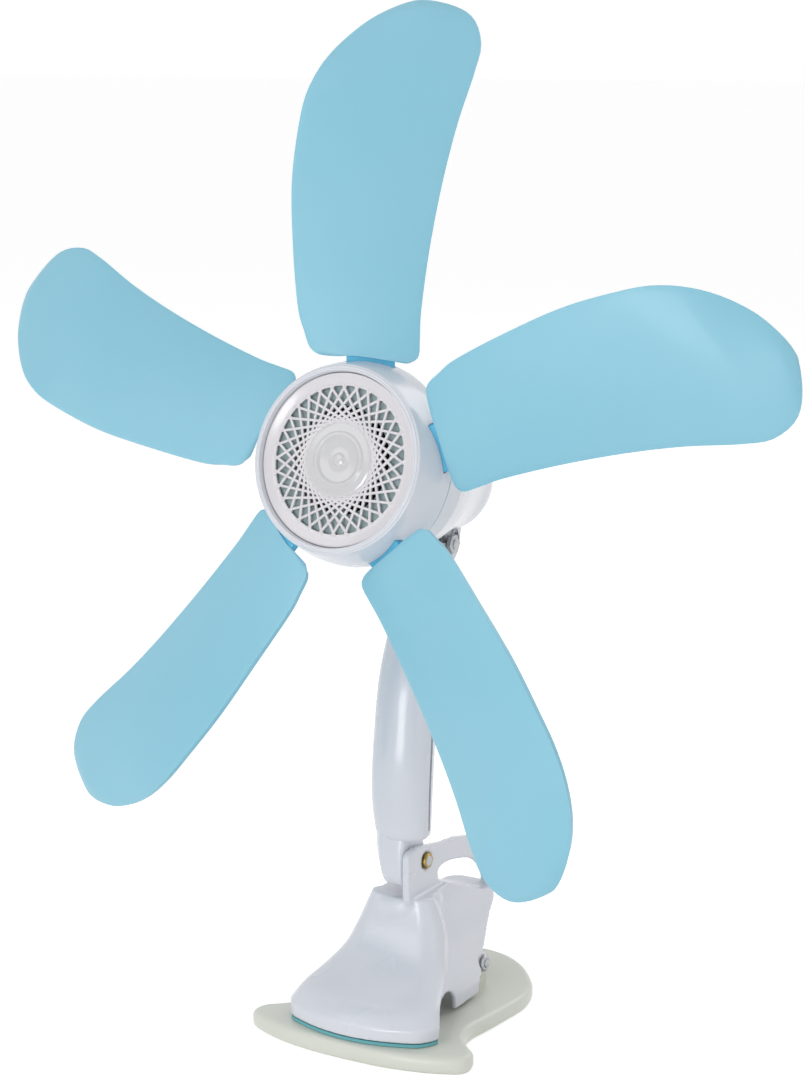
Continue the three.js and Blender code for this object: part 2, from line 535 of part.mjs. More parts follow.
// ---------------------------------------------------------------- upper jaw
// plan sections from the lip up: [height, half width in front, at the shoulder, behind, front, back, corner, bow]
const jawSections = (inset, drop = 0) => [
  [padTop + GAP - drop, LIP_HALF, CHEEK_HALF, CHEEK_HALF, 14, 92, 7, 11],
  [padTop + GAP + LIP_HEIGHT, LIP_HALF + 0.5, CHEEK_HALF + 1, CHEEK_HALF - 1, 14.5, 96, 7, 11],
  [22.5, LIP_HALF - 3, CHEEK_HALF + 1, 24, 20, 108, 8, 9],
  [28, 31.4, 27, 21.5, 30.5, 114, 9, 6],
  [36, 26, 24, 18.5, 40, 120, 9, 3.2],
  [46, 22.5, 19.5, 14, 46, 125, 9, 1.6],
  [56, 18.5, 15.5, 11, 48.5, 124, 8, 0.7],
  [62 - inset, 15.5, 12.5, 9.6, 49, 120, 7, 0.3],
].map(([z, w, cheek, rear, y0, y1, corner, bow]) =>
  section(w - inset, cheek - inset, rear - inset, y0 + inset, y1 - inset, z, corner, bow));
const jawSkin = (inset, drop) => loft(jawSections(inset, drop));
// the cheeks end in front of the pin, and the lever's underside rises behind it
const cheekEnd = PIN_Y - 4.8;
const leverCut = slab([[cheekEnd - 5.2, 0], [cheekEnd - 4.2, 14], [cheekEnd, PIN_Z - 3], [cheekEnd, PIN_Z + 4.8],
  [PIN_Y + 4, PIN_Z + 6.4], [PIN_Y + 14, 35.5], [118, 43], [126, 45.5], [160, 45.5], [160, 0]], -60, 60);
const leverRoof = 44;            // underside of the lever between the cheeks
// boss under the arm's foot, the lug and the loop of the handle
const lugOut = ARM_FOOT_RIGHT + GAP + LUG_THICK;
const boss = turned([[0, 40], [11, 40], [14.5, 50], [15.8, 56], [15.4, 59.5], [13.6, 62], [0, 62]], 32)
  .translate([0, BOLT_Y - 1, 0]);
const fin = [[45.5, 62], [45.2, 82], [47, 84.5], [52, 85.6], [64, 83.8], [78, 81.2], [92, 79.8], [106, 76.6],
  [118, 70.5], [125, 62.5], [127, 55], [124, 47.5], [117, 42], [96, 42], [60, 42], [50, 54]];
const finSlab = slab(fin, lugOut - HANDLE_THICK, lugOut);
const window = slab([[73.5, 69.5], [80, 70.6], [90, 69.4], [104, 65.8], [114.5, 59.8], [120.5, 51.4], [118, 48.4],
  [108, 50], [92, 56.5], [79, 61.6], [73.5, 65.5]], -30, 30);
let jaw = jawSkin(0, 0).add(boss).subtract(leverCut)
  .subtract(jawSkin(JAW_WALL, 8).subtract(slab([[40, 54], [100, 47], [140, 45.5], [140, 80], [40, 80]], -60, 60)))
  .add(finSlab).subtract(slab([[58, 0], [126, 0], [126, leverRoof], [58, leverRoof]], -10.2, 10.2))
  .subtract(window).subtract(slab([[70, 63], [79, 61.6], [92, 56.5], [108, 50], [118, 48.4], [140, 48.4], [140, 90],
    [70, 90]], -60, lugOut - HANDLE_THICK))
  .subtract(slab([[30, 62.3], [73, 62.3], [73, 100], [30, 100]], -60, ARM_FOOT_RIGHT + GAP))
  .subtract(crossRod(-60, 60, NOTCH_Y, NOTCH_Z, NOTCH_R, 28))
  .subtract(crossRod(-40, 40, BOLT_Y, BOLT_Z, FOOT_BOLT_R + 0.15))
  .subtract(crossRod(lugOut - 1.2, 30, BOLT_Y, BOLT_Z, 4.4, 24));
// webs inside the jaw that carry its pin, just outside the foot's ears
const webOutline = [[PIN_Y - 12, PIN_Z + 5], [PIN_Y - 12, PIN_Z], [PIN_Y - 5, PIN_Z - 4.6], [PIN_Y, PIN_Z - 5.4],
  [PIN_Y + 4, PIN_Z - 3.6], [PIN_Y + 5.4, PIN_Z], [PIN_Y + 4, PIN_Z + 3.6], [PIN_Y, PIN_Z + 5]];
[-1, 1].forEach((side) => {
  const x0 = side > 0 ? EAR_HALF + GAP : -EAR_HALF - GAP - EAR_THICK;
  jaw = jaw.add(slab(webOutline, x0, x0 + EAR_THICK));
});
jaw = jaw.subtract(crossRod(-40, 40, PIN_Y, PIN_Z, PIN_R + 0.1));
add(frame, 'upper_jaw', biggest(jaw), WHITE);

// rubber pad under the lip
const padOutline = [];
const lipHalf = LIP_HALF - 0.4;
for (let k = 0; k <= 12; k++) {
  const x = lipHalf * (1 - k / 6);
  const end = Math.max(0, Math.abs(x) - (lipHalf - 6)) / 6;
  padOutline.push([x, 14.4 - 11 * (1 - (x / lipHalf) ** 2) + 5 * end * end]);
}
const padEnd = NOTCH_Y - NOTCH_R - 0.6;
padOutline.push([-lipHalf, 21], [-CHEEK_HALF, padEnd], [CHEEK_HALF, padEnd], [lipHalf, 21]);
add(frame, 'jaw_pad', plate(padOutline, FOOT_THICK + GAP, padTop), TEAL);

// ---------------------------------------------------------------- jaw pin, caps and spring
const pinHalf = EAR_HALF + GAP + EAR_THICK + 2.6;
add(frame, 'jaw_pin', crossRod(-pinHalf, pinHalf, PIN_Y, PIN_Z, PIN_R, 20), STEEL);
[['left', -1], ['right', 1]].forEach(([name, side]) => {
  const a = side * (pinHalf - 2.3);
  const b = side * (pinHalf - 0.5);
  add(frame, `pin_cap_${name}`, crossRod(Math.min(a, b), Math.max(a, b), PIN_Y, PIN_Z, 4, 12)
    .subtract(crossRod(-40, 40, PIN_Y, PIN_Z, PIN_R + 0.1, 12)), STEEL);
});

/** Torsion spring: a helix about the pin whose two ends run out as straight legs. */
function springPath() {
  const half = SPRING_CURLS * SPRING_PITCH / 2;
  const at = (turn) => V3(-half + SPRING_PITCH * turn, PIN_Y - SPRING_R * Math.sin(2 * Math.PI * turn),
    PIN_Z - SPRING_R * Math.cos(2 * Math.PI * turn));
  const steps = SPRING_CURLS * 8;
  const points = [];
  for (let k = 0; k <= steps; k++) points.push(at(k / 8));
  return points;
}
const coilPoints = springPath();
const first = coilPoints[0];
const last = coilPoints[coilPoints.length - 1];
const SPRING_LEG = 26;
const wirePoints = [V3(first.x, first.y + SPRING_LEG, FOOT_THICK + GAP + SPRING_WIRE / 2),
  V3(first.x, first.y + 9, first.z - 1.2), ...coilPoints, V3(last.x - 0.5, last.y + 5, last.z + 2),
  V3(lugOut - HANDLE_THICK / 2, last.y + SPRING_LEG - 2, leverRoof - GAP - SPRING_WIRE / 2)];
/** A tube of few sides along points, closed at both ends. */
function wire(points, radius, sides) {
  const rings = points.map((p, k) => {
    const before = points[Math.max(0, k - 1)];
    const after = points[Math.min(points.length - 1, k + 1)];
    const d = after.clone().sub(before).normalize();
    const a = V3(1, 0, 0).addScaledVector(d, -d.x).normalize();
    const b = d.clone().cross(a);
    return Array.from({ length: sides }, (_, i) => {
      const t = 2 * Math.PI * i / sides;
      return p.clone().addScaledVector(a, radius * Math.cos(t)).addScaledVector(b, radius * Math.sin(t));
    });
  });
  return loft(rings);
}
add(frame, 'jaw_spring', wire(wirePoints, SPRING_WIRE / 2, 5), STEEL);
let leastGap = Infinity;
wirePoints.forEach((p, i) => wirePoints.forEach((q, j) => {
  if (j - i > 4) leastGap = Math.min(leastGap, p.distanceTo(q) - SPRING_WIRE);
}));
console.log('jaw_spring: least gap to itself', leastGap.toFixed(2), 'mm');

// ---------------------------------------------------------------- foot hinge bolt
add(frame, 'arm_bolt', bolt(BOLT_Y, BOLT_Z, FOOT_BOLT_R, -ARM_FOOT_LEFT - GAP - 2.4, lugOut + 1.4), STEEL);
add(frame, 'arm_nut', nut(BOLT_Y, BOLT_Z, FOOT_BOLT_R - 0.4, lugOut - 1.2 + GAP, lugOut + 1.2)
  .subtract(crossRod(0, 40, BOLT_Y, BOLT_Z, FOOT_BOLT_R + 0.15)), BRASS);

export default group;
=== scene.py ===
"""A five-bladed clip fan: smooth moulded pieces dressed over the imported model, with its studio and camera."""

import logging
from dataclasses import dataclass, field
from enum import Enum
from math import cos, degrees, hypot, pi, radians, sin, sqrt, tan
from typing import Callable, Iterable, Sequence

import bmesh
import bpy
from mathutils import Matrix, Vector


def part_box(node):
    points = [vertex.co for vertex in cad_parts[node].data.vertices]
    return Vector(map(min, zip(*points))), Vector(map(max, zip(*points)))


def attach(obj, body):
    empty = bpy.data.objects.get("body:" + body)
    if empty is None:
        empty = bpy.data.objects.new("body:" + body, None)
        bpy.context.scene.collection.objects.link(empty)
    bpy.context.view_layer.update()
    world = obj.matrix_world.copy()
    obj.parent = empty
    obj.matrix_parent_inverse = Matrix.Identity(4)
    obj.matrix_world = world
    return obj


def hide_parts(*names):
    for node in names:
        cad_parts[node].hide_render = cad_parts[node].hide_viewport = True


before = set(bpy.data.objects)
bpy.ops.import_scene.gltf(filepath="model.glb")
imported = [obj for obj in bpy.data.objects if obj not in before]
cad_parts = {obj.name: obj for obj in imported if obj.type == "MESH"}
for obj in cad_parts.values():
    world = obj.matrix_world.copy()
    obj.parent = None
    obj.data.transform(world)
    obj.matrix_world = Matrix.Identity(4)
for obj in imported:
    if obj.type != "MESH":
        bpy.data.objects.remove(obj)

log = logging.getLogger("clip_fan")

Pair = tuple[float, float]
Ring = list[Vector]

MM = 0.001
FOOT_LENGTH = 138.0                  # the side view is measured from the foot's front edge
HUB = Vector((0.0, -69.0, 273.0)) * MM
HEAD_TILT = 13.6                     # degrees that the face looks up
SIDE = Matrix.Translation((0.0, -FOOT_LENGTH / 2 * MM, 0.0)) @ Matrix.Scale(MM, 4)
HEAD = Matrix.Translation(HUB) @ Matrix.Rotation(radians(90 - HEAD_TILT), 4, "X") @ Matrix.Scale(MM, 4)
ROTOR = HEAD @ Matrix.Rotation(radians(5.7), 4, "Z")  # at rest the first blade leans over a little
GAP = 0.3                            # clearance between neighbouring pieces


class Body(Enum):
    """The moving bodies that a piece can ride on."""

    BASE = "base"
    CLIP = "clip"
    ARM = "arm"
    HEAD = "head"
    ROTOR = "rotor"


class Carve(Enum):
    """How one solid changes another."""

    CUT = "DIFFERENCE"
    JOIN = "UNION"


# ---------------------------------------------------------------- curves and rings
def spline(points: Sequence[Sequence[float]], share: float) -> list[float]:
    """A point of the smooth curve through the given points.

    Args:
        points: the points that the curve passes through, in any number of dimensions.
        share: how far along, from 0 at the first point to 1 at the last.

    Returns:
        The point's coordinates.
    """
    at = min(max(share, 0.0), 1.0) * (len(points) - 1)
    i = min(int(at), len(points) - 2)
    w = at - i
    near = [points[max(0, min(len(points) - 1, k))] for k in (i - 1, i, i + 1, i + 2)]
    out = []
    for a, b, c, d in zip(*near):
        v0, v1 = (c - a) / 2, (d - b) / 2
        out.append((2 * b - 2 * c + v0 + v1) * w ** 3 + (-3 * b + 3 * c - 2 * v0 - v1) * w ** 2 + v0 * w + b)
    return out


def along(pairs: Sequence[Pair], where: float) -> float:
    """The second value of a smooth curve of pairs where its first value is the one given."""
    low, high = 0.0, 1.0
    for _ in range(24):
        mid = (low + high) / 2
        if spline(pairs, mid)[0] < where:
            low = mid
        else:
            high = mid
    return spline(pairs, low)[1]


def even_points(points: Sequence[Sequence[float]], count: int) -> list[list[float]]:
    """Points at even steps of length along the smooth curve through the given ones."""
    fine = [spline(points, k / 400) for k in range(401)]
    reach = [0.0]
    for a, b in zip(fine, fine[1:]):
        reach.append(reach[-1] + sqrt(sum((q - p) ** 2 for p, q in zip(a, b))))
    out, k = [], 0
    for j in range(count):
        goal = reach[-1] * j / (count - 1)
        while k < 399 and reach[k + 1] < goal:
            k += 1
        w = (goal - reach[k]) / max(1e-9, reach[k + 1] - reach[k])
        out.append([p + (q - p) * min(1.0, w) for p, q in zip(fine[k], fine[k + 1])])
    return out


def rounded(profile: Sequence[Pair], radius: float, closed: bool = True, steps: int = 3) -> list[Pair]:
    """A profile with its corners rounded.

    Args:
        profile: corner points in order.
        radius: the largest radius; short sides get less.
        closed: whether the last point joins the first.
        steps: sides in each rounded corner.

    Returns:
        The profile's new points.
    """
    n, out = len(profile), []
    for i, here in enumerate(profile):
        if not closed and i in (0, n - 1):
            out.append(here)
            continue
        p, a, b = (Vector(v) for v in (here, profile[i - 1], profile[(i + 1) % n]))
        to_a, to_b = a - p, b - p
        turn = to_a.angle(to_b, pi)
        if turn > radians(172):
            out.append(here)
            continue
        reach = min(radius / tan(turn / 2), to_a.length * 0.48, to_b.length * 0.48)
        start, end = p + to_a.normalized() * reach, p + to_b.normalized() * reach
        for k in range(steps + 1):
            w = k / steps
            q = start * (1 - w) ** 2 + p * 2 * w * (1 - w) + end * w ** 2
            out.append((q.x, q.y))
    return out


# ---------------------------------------------------------------- bmesh building blocks
def loft(bm: bmesh.types.BMesh, rings: Sequence[Ring]) -> None:
    """Extrudes a ring through the places of the given rings, and closes both ends.

    Args:
        bm: the mesh that it adds to.
        rings: rings of equally many points.
    """
    made = bmesh.ops.create_circle(bm, cap_ends=True, segments=len(rings[0]), radius=1.0)["verts"]
    start = made[0]
    face = start.link_faces[0]
    verts = [loop.vert for loop in face.loops]
    for v, p in zip(verts, rings[0]):
        v.co = p
    ends = set(verts)
    edges = [e for e in face.edges]
    for ring in rings[1:]:
        new = bmesh.ops.extrude_edge_only(bm, edges=edges)["geom"]
        fresh = {g for g in new if isinstance(g, bmesh.types.BMVert)}
        moved = []
        for v, p in zip(verts, ring):
            other = next(e.other_vert(v) for e in v.link_edges if e.other_vert(v) in fresh)
            other.co = p
            moved.append(other)
        verts = moved
        pairs = zip(verts, verts[1:] + verts[:1])
        edges = [next(e for e in a.link_edges if e.other_vert(a) is b) for a, b in pairs]
        ends = fresh
    bmesh.ops.contextual_create(bm, geom=edges)


def turn_profile(bm: bmesh.types.BMesh, profile: Sequence[Pair], steps: int = 96, closed: bool = True) -> None:
    """Spins a profile of radius and height about +Z.

    Args:
        bm: the mesh that it adds to.
        profile: points of radius and height; an open profile starts and ends on the axis.
        steps: sides of the turned piece.
        closed: whether the last point joins the first.
    """
    verts = [bm.verts.new((max(r, 0.0), 0.0, z)) for r, z in profile]
    runs = list(zip(verts, verts[1:])) + ([(verts[-1], verts[0])] if closed else [])
    edges = [bm.edges.new(run) for run in runs]
    bmesh.ops.spin(bm, geom=verts + edges, cent=(0, 0, 0), axis=(0, 0, 1), angle=2 * pi, steps=steps,
                   use_merge=True, dvec=(0, 0, 0))
    bmesh.ops.remove_doubles(bm, verts=bm.verts, dist=1e-4)
    bmesh.ops.dissolve_degenerate(bm, dist=1e-5, edges=bm.edges)


def block(bm: bmesh.types.BMesh, size: Sequence[float], at: Matrix, edge: float = 0.0) -> None:
    """Adds a box of the given size with its edges rounded."""
    made = bmesh.ops.create_cube(bm, size=1.0, matrix=at @ Matrix.Diagonal((*size, 1.0)))["verts"]
    if edge > 0:
        edges = list({e for v in made for e in v.link_edges})
        bmesh.ops.bevel(bm, geom=edges, offset=edge, segments=2, profile=0.5, affect="EDGES", material=-1)


def extrude_outline(bm: bmesh.types.BMesh, outline: Sequence[Pair], low: float, high: float,
                    lift: Callable[[float, float, float], Vector], edge: float = 0.0) -> None:
    """Extrudes a flat outline between two depths, with its rims rounded.

    Args:
        bm: the mesh that it adds to.
        outline: its points.
        low: the first depth.
        high: the second depth.
        lift: turns a point of the outline and a depth into a place.
        edge: how far the rims are rounded over.
    """
    middle = Vector((sum(u for u, _ in outline), sum(v for _, v in outline))) / len(outline)
    rings = []
    for depth, inset in ((low, edge), (low + edge * 0.3, edge * 0.3), (low + edge, 0.0), (high - edge, 0.0),
                         (high - edge * 0.3, edge * 0.3), (high, edge)) if edge > 0 else ((low, 0.0), (high, 0.0)):
        ring = []
        for u, v in outline:
            reach = Vector((u, v)) - middle
            at = middle + reach * (1 - inset / max(reach.length, 1e-6))
            ring.append(lift(at.x, at.y, depth))
        rings.append(ring)
    loft(bm, rings)


def across(y: float, z: float, x: float) -> Vector:
    """A point of the side view at a depth along X."""
    return Vector((x, y, z))


def upward(x: float, y: float, z: float) -> Vector:
    """A point of the plan view at a height."""
    return Vector((x, y, z))


def rod(bm: bmesh.types.BMesh, start: Vector, end: Vector, radius: float, sides: int = 32,
        edge: float = 0.0) -> None:
    """Adds a round rod between two points, with its rims rounded."""
    axis = end - start
    at = Matrix.Translation((start + end) / 2) @ axis.to_track_quat("Z", "Y").to_matrix().to_4x4()
    made = bmesh.ops.create_cone(bm, cap_ends=True, segments=sides, radius1=radius, radius2=radius,
                                 depth=axis.length, matrix=at)["verts"]
    if edge > 0:
        rims = [e for e in {e for v in made for e in v.link_edges}
                if any(len(f.verts) > 4 for f in e.link_faces)]
        bmesh.ops.bevel(bm, geom=rims, offset=edge, segments=3, profile=0.5, affect="EDGES", material=-1)


def cross_rod(bm: bmesh.types.BMesh, x0: float, x1: float, y: float, z: float, radius: float,
              sides: int = 48, edge: float = 0.0) -> None:
    """Adds a rod along X about a point of the side view."""
    rod(bm, Vector((x0, y, z)), Vector((x1, y, z)), radius, sides, edge)


def make(name: str, build: Callable[[bmesh.types.BMesh], None]) -> bpy.types.Object:
    """Makes an object from one building function.

    Args:
        name: the object's name.
        build: fills an empty bmesh.

    Returns:
        The linked object, with its faces pointing outwards.
    """
    bm = bmesh.new()
    build(bm)
    bmesh.ops.recalc_face_normals(bm, faces=bm.faces)
    mesh = bpy.data.meshes.new(name)
    bm.to_mesh(mesh)
    bm.free()
    obj = bpy.data.objects.new(name, mesh)
    bpy.context.scene.collection.objects.link(obj)
    return obj


def settle(obj: bpy.types.Object) -> None:
    """Applies the object's modifiers to its mesh."""
    bpy.context.view_layer.update()
    graph = bpy.context.evaluated_depsgraph_get()
    mesh = bpy.data.meshes.new_from_object(obj.evaluated_get(graph))
    obj.modifiers.clear()
    obj.data = mesh


def carve(obj: bpy.types.Object, how: Carve, build: Callable[[bmesh.types.BMesh], None]) -> None:
    """Cuts from or joins to an object the solid that a building function makes."""
    tool = make("tool", build)
    change = obj.modifiers.new("carve", "BOOLEAN")
    change.operation, change.object, change.solver = how.value, tool, "MANIFOLD"
    settle(obj)
    bpy.data.objects.remove(tool)


def melt(obj: bpy.types.Object, voxel: float, passes: int) -> None:
    """Gives a carved solid the soft edges and fillets of a moulding.

    Args:
        obj: the solid.
        voxel: the size of the new faces, in the solid's own unit.
        passes: how many times the surface is smoothed.
    """
    remesh = obj.modifiers.new("skin", "REMESH")
    remesh.mode, remesh.voxel_size, remesh.adaptivity = "VOXEL", voxel, 0.0
    settle(obj)
    bm = bmesh.new()
    bm.from_mesh(obj.data)
    for _ in range(passes):
        bmesh.ops.smooth_vert(bm, verts=bm.verts, factor=0.5, use_axis_x=True, use_axis_y=True, use_axis_z=True)
    bm.to_mesh(obj.data)
    bm.free()


def place(obj: bpy.types.Object, where: Matrix, crease: float = 35.0) -> None:
    """Moves a mesh from its own millimetres into the row frame and shades it smoothly up to an angle."""
    obj.data.transform(where)
    obj.data.polygons.foreach_set("use_smooth", [True] * len(obj.data.polygons))
    obj.data.set_sharp_from_angle(angle=radians(crease))
    obj.data.update()


# ---------------------------------------------------------------- materials
def linear(hexa: str) -> tuple[float, float, float, float]:
    """An sRGB hex colour as linear light."""
    values = [int(hexa[i:i + 2], 16) / 255 for i in (1, 3, 5)]
    return (*[v / 12.92 if v <= 0.04045 else ((v + 0.055) / 1.055) ** 2.4 for v in values], 1.0)


def add_node(tree: bpy.types.NodeTree, kind: str, settings: dict | None = None,
             inputs: dict | None = None) -> bpy.types.Node:
    """Adds a node with its settings, socket values and links.

    Args:
        tree: the material's node tree.
        kind: the node's type name.
        settings: attributes of the node.
        inputs: by socket name or number, a value or the output socket that feeds it.

    Returns:
        The node.
    """
    node = tree.nodes.new(kind)
    for key, value in (settings or {}).items():
        setattr(node, key, value)
    for key, value in (inputs or {}).items():
        if isinstance(value, bpy.types.NodeSocket):
            tree.links.new(value, node.inputs[key])
        else:
            node.inputs[key].default_value = value
    return node


def blank_material(name: str) -> tuple[bpy.types.Material, bpy.types.NodeTree]:
    """A new material of that name, and its empty node tree."""
    mat = bpy.data.materials.new(name)
    mat.use_nodes = True
    mat.node_tree.nodes.clear()
    return mat, mat.node_tree


def show(tree: bpy.types.NodeTree, shader: bpy.types.Node) -> None:
    """Sends a shader to the surface of a material."""
    out = add_node(tree, "ShaderNodeOutputMaterial")
    tree.links.new(shader.outputs["BSDF"], out.inputs["Surface"])


@dataclass(frozen=True)
class Moulding:
    """An injection-moulded plastic: faint cloudiness, a fine orange-peel skin and handling scuffs in its gloss."""

    name: str
    colour: str
    shade: str
    rough: float = 0.3
    ior: float = 1.53
    coat: float = 0.0
    glow: float = 0.0                # share of light that scatters inside
    cloud_mm: float = 60.0           # size of the cloudy changes of colour
    peel_mm: float = 1.2             # size of the skin's ripples, drawn coarser than the real ones
    peel: float = 0.003

    def make(self) -> bpy.types.Material:
        """Builds the material."""
        mat, tree = blank_material(self.name)
        spot = add_node(tree, "ShaderNodeTexCoord").outputs["Object"]
        cloud = add_node(tree, "ShaderNodeTexNoise", inputs={
            "Vector": spot, "Scale": 1 / (self.cloud_mm * MM), "Detail": 2.0, "Roughness": 0.45})
        tint = add_node(tree, "ShaderNodeMix", {"data_type": "RGBA"}, {
            0: cloud.outputs["Fac"], 6: linear(self.colour), 7: linear(self.shade)})
        scuff = add_node(tree, "ShaderNodeTexNoise", inputs={
            "Vector": spot, "Scale": 1 / (22 * MM), "Detail": 2.0, "Roughness": 0.4})
        gloss = add_node(tree, "ShaderNodeMapRange", inputs={
            "Value": scuff.outputs["Fac"], "From Min": 0.3, "From Max": 0.75,
            "To Min": self.rough - 0.01, "To Max": self.rough + 0.02})
        ripple = add_node(tree, "ShaderNodeTexNoise", inputs={
            "Vector": spot, "Scale": 1 / (self.peel_mm * MM), "Detail": 3.0, "Roughness": 0.5})
        bump = add_node(tree, "ShaderNodeBump", inputs={
            "Height": ripple.outputs["Fac"], "Strength": self.peel, "Distance": 0.1 * MM})
        shader = add_node(tree, "ShaderNodeBsdfPrincipled", inputs={
            "Base Color": tint.outputs[2], "Roughness": gloss.outputs["Result"], "IOR": self.ior,
            "Normal": bump.outputs["Normal"], "Coat Weight": self.coat, "Coat Roughness": 0.12,
            "Subsurface Weight": self.glow, "Subsurface Scale": 1.5 * MM})
        shader.inputs["Subsurface Radius"].default_value = (1.0, 1.0, 1.0)
        show(tree, shader)
        return mat


@dataclass(frozen=True)
class Metal:
    """A metal with fine tool marks or plating grain that changes its gloss."""

    name: str
    colour: str
    dull: str
    rough: float = 0.3
    grain_mm: float = 0.8
    stretch: tuple[float, float, float] = (1.0, 1.0, 1.0)
    metallic: float = 1.0

    def make(self) -> bpy.types.Material:
        """Builds the material."""
        mat, tree = blank_material(self.name)
        spot = add_node(tree, "ShaderNodeTexCoord").outputs["Object"]
        laid = add_node(tree, "ShaderNodeMapping", inputs={"Vector": spot, "Scale": self.stretch})
        grain = add_node(tree, "ShaderNodeTexNoise", inputs={
            "Vector": laid.outputs["Vector"], "Scale": 1 / (self.grain_mm * MM), "Detail": 4.0})
        tint = add_node(tree, "ShaderNodeMix", {"data_type": "RGBA"}, {
            0: grain.outputs["Fac"], 6: linear(self.colour), 7: linear(self.dull)})
        gloss = add_node(tree, "ShaderNodeMapRange", inputs={
            "Value": grain.outputs["Fac"], "From Min": 0.3, "From Max": 0.7,
            "To Min": self.rough - 0.08, "To Max": self.rough + 0.12})
        bump = add_node(tree, "ShaderNodeBump", inputs={
            "Height": grain.outputs["Fac"], "Strength": 0.15, "Distance": 0.05 * MM})
        shader = add_node(tree, "ShaderNodeBsdfPrincipled", inputs={
            "Base Color": tint.outputs[2], "Metallic": self.metallic, "Roughness": gloss.outputs["Result"],
            "Normal": bump.outputs["Normal"]})
        show(tree, shader)
        return mat


@dataclass(frozen=True)
class RotorPaint:
    """The motor's pressed cup: grey-green chromated steel, its middle painted near-black as painted shade for the
    deep dark seen through the web's hole.
    """

    name: str = "chromated_steel_cup_painted_shade"
    plate: str = "#8FA9A8"
    light: str = "#C3D1D0"
    # painted shade: near-black for the deep dark middle seen through the web's hole
    hole: str = "#0B0D0E"
    painted_shade_to: float = 23.5

    def make(self) -> bpy.types.Material:
        """Builds the material."""
        mat, tree = blank_material(self.name)
        spot = add_node(tree, "ShaderNodeTexCoord").outputs["Object"]
        centred = add_node(tree, "ShaderNodeVectorMath", {"operation": "SUBTRACT"}, {0: spot, 1: tuple(HUB)})
        laid = add_node(tree, "ShaderNodeVectorRotate", {"rotation_type": "X_AXIS"}, {
            "Vector": centred.outputs["Vector"], "Angle": -radians(90 - HEAD_TILT)})
        flat = add_node(tree, "ShaderNodeVectorMath", {"operation": "MULTIPLY"}, {
            0: laid.outputs["Vector"], 1: (1.0, 1.0, 0.0)})
        radius = add_node(tree, "ShaderNodeVectorMath", {"operation": "LENGTH"}, {0: flat.outputs["Vector"]})
        # mask of the painted shade: 1 within the web's hole, fading out just beyond it
        inner = add_node(tree, "ShaderNodeMapRange", {"interpolation_type": "SMOOTHSTEP"}, {
            "Value": radius.outputs["Value"], "From Min": self.painted_shade_to * MM, "From Max": (self.painted_shade_to + 1.5) * MM,
            "To Min": 1.0, "To Max": 0.0})
        patches = add_node(tree, "ShaderNodeTexNoise", inputs={
            "Vector": spot, "Scale": 1 / (7 * MM), "Detail": 3.0})
        tint = add_node(tree, "ShaderNodeMix", {"data_type": "RGBA"}, {
            0: patches.outputs["Fac"], 6: linear(self.plate), 7: linear(self.light)})
        # the middle is painted near-black as painted shade
        paint = add_node(tree, "ShaderNodeMix", {"data_type": "RGBA"}, {
            0: inner.outputs["Result"], 6: tint.outputs[2], 7: linear(self.hole)})
        shader = add_node(tree, "ShaderNodeBsdfPrincipled", inputs={
            "Base Color": paint.outputs[2], "Metallic": 0.3, "Roughness": 0.5})
        show(tree, shader)
        return mat


@dataclass
class Palette:
    """Every finish of the fan, by name."""

    # glossy polystyrene, moulded: a cool, faintly lilac white
    white: Moulding = Moulding("polystyrene_cool_white", "#DCDEE5", "#D5D8E0", rough=0.26, coat=0.35, glow=0.06)
    # the grille is the same stock; its pinker copy of the white is painted light, for where it faces the light
    painted_light_white: Moulding = Moulding("polystyrene_white_painted_light", "#DDDADD", "#D7D5DA", rough=0.24, coat=0.45, glow=0.05,
                               cloud_mm=45.0)
    # behind the grille the same stock gets a darker grey-green copy of its colour as painted shade
    painted_shade_white: Moulding = Moulding("polystyrene_in_shade", "#A3B6B8", "#97ABAE", rough=0.5)
    # the middle is polished in the tool
    polish: Moulding = Moulding("polystyrene_polished", "#CFCFD0", "#C9C9CC", rough=0.13, coat=0.9, peel=0.003,
                                cloud_mm=20.0)
    # older ABS with a slight olive cast
    cream: Moulding = Moulding("abs_warm_white", "#DFE0D6", "#D3D6CB", rough=0.34, coat=0.15, glow=0.05)
    # polypropylene: waxy, sky blue, lets a little light through
    blue: Moulding = Moulding("polypropylene_sky_blue", "#94CDE0", "#84C3D8", rough=0.4, coat=0.1, glow=0.12,
                              ior=1.49, cloud_mm=90.0)
    # the stems' deeper blue is painted shade: they sit recessed behind the leaves
    painted_shade_blue: Moulding = Moulding("polypropylene_blue_painted_shade", "#5ABCE0", "#4FB2DA", rough=0.38, coat=0.1, glow=0.1,
                               ior=1.49)
    # thermoplastic rubber, matt and soft
    teal: Moulding = Moulding("thermoplastic_rubber_teal", "#6CB4BA", "#5FA6AE", rough=0.7, peel=0.08, peel_mm=0.8)
    dark: Moulding = Moulding("nylon_black", "#232527", "#2C2E31", rough=0.5, peel=0.06)
    steel: Metal = Metal("zinc_plated_steel", "#B9BBBD", "#9FA2A5", rough=0.28)
    laminate: Metal = Metal("laminated_core_steel", "#8D9092", "#606366", rough=0.45, grain_mm=0.5,
                            stretch=(1.0, 6.0, 1.0))
    brass: Metal = Metal("turned_brass", "#B09A5A", "#8A7440", rough=0.3, grain_mm=0.6)
    copper: Metal = Metal("enamelled_copper_wire", "#B0622F", "#8C4A22", rough=0.35, grain_mm=0.4,
                          stretch=(4.0, 1.0, 4.0))
    # the cup: chromated steel with its middle black as painted shade
    cup: RotorPaint = field(default_factory=RotorPaint)
    made: dict[str, bpy.types.Material] = field(default_factory=dict)

    def get(self, name: str) -> bpy.types.Material:
        """The finish of that field's name, built once."""
        if name not in self.made:
            self.made[name] = getattr(self, name).make()
        return self.made[name]


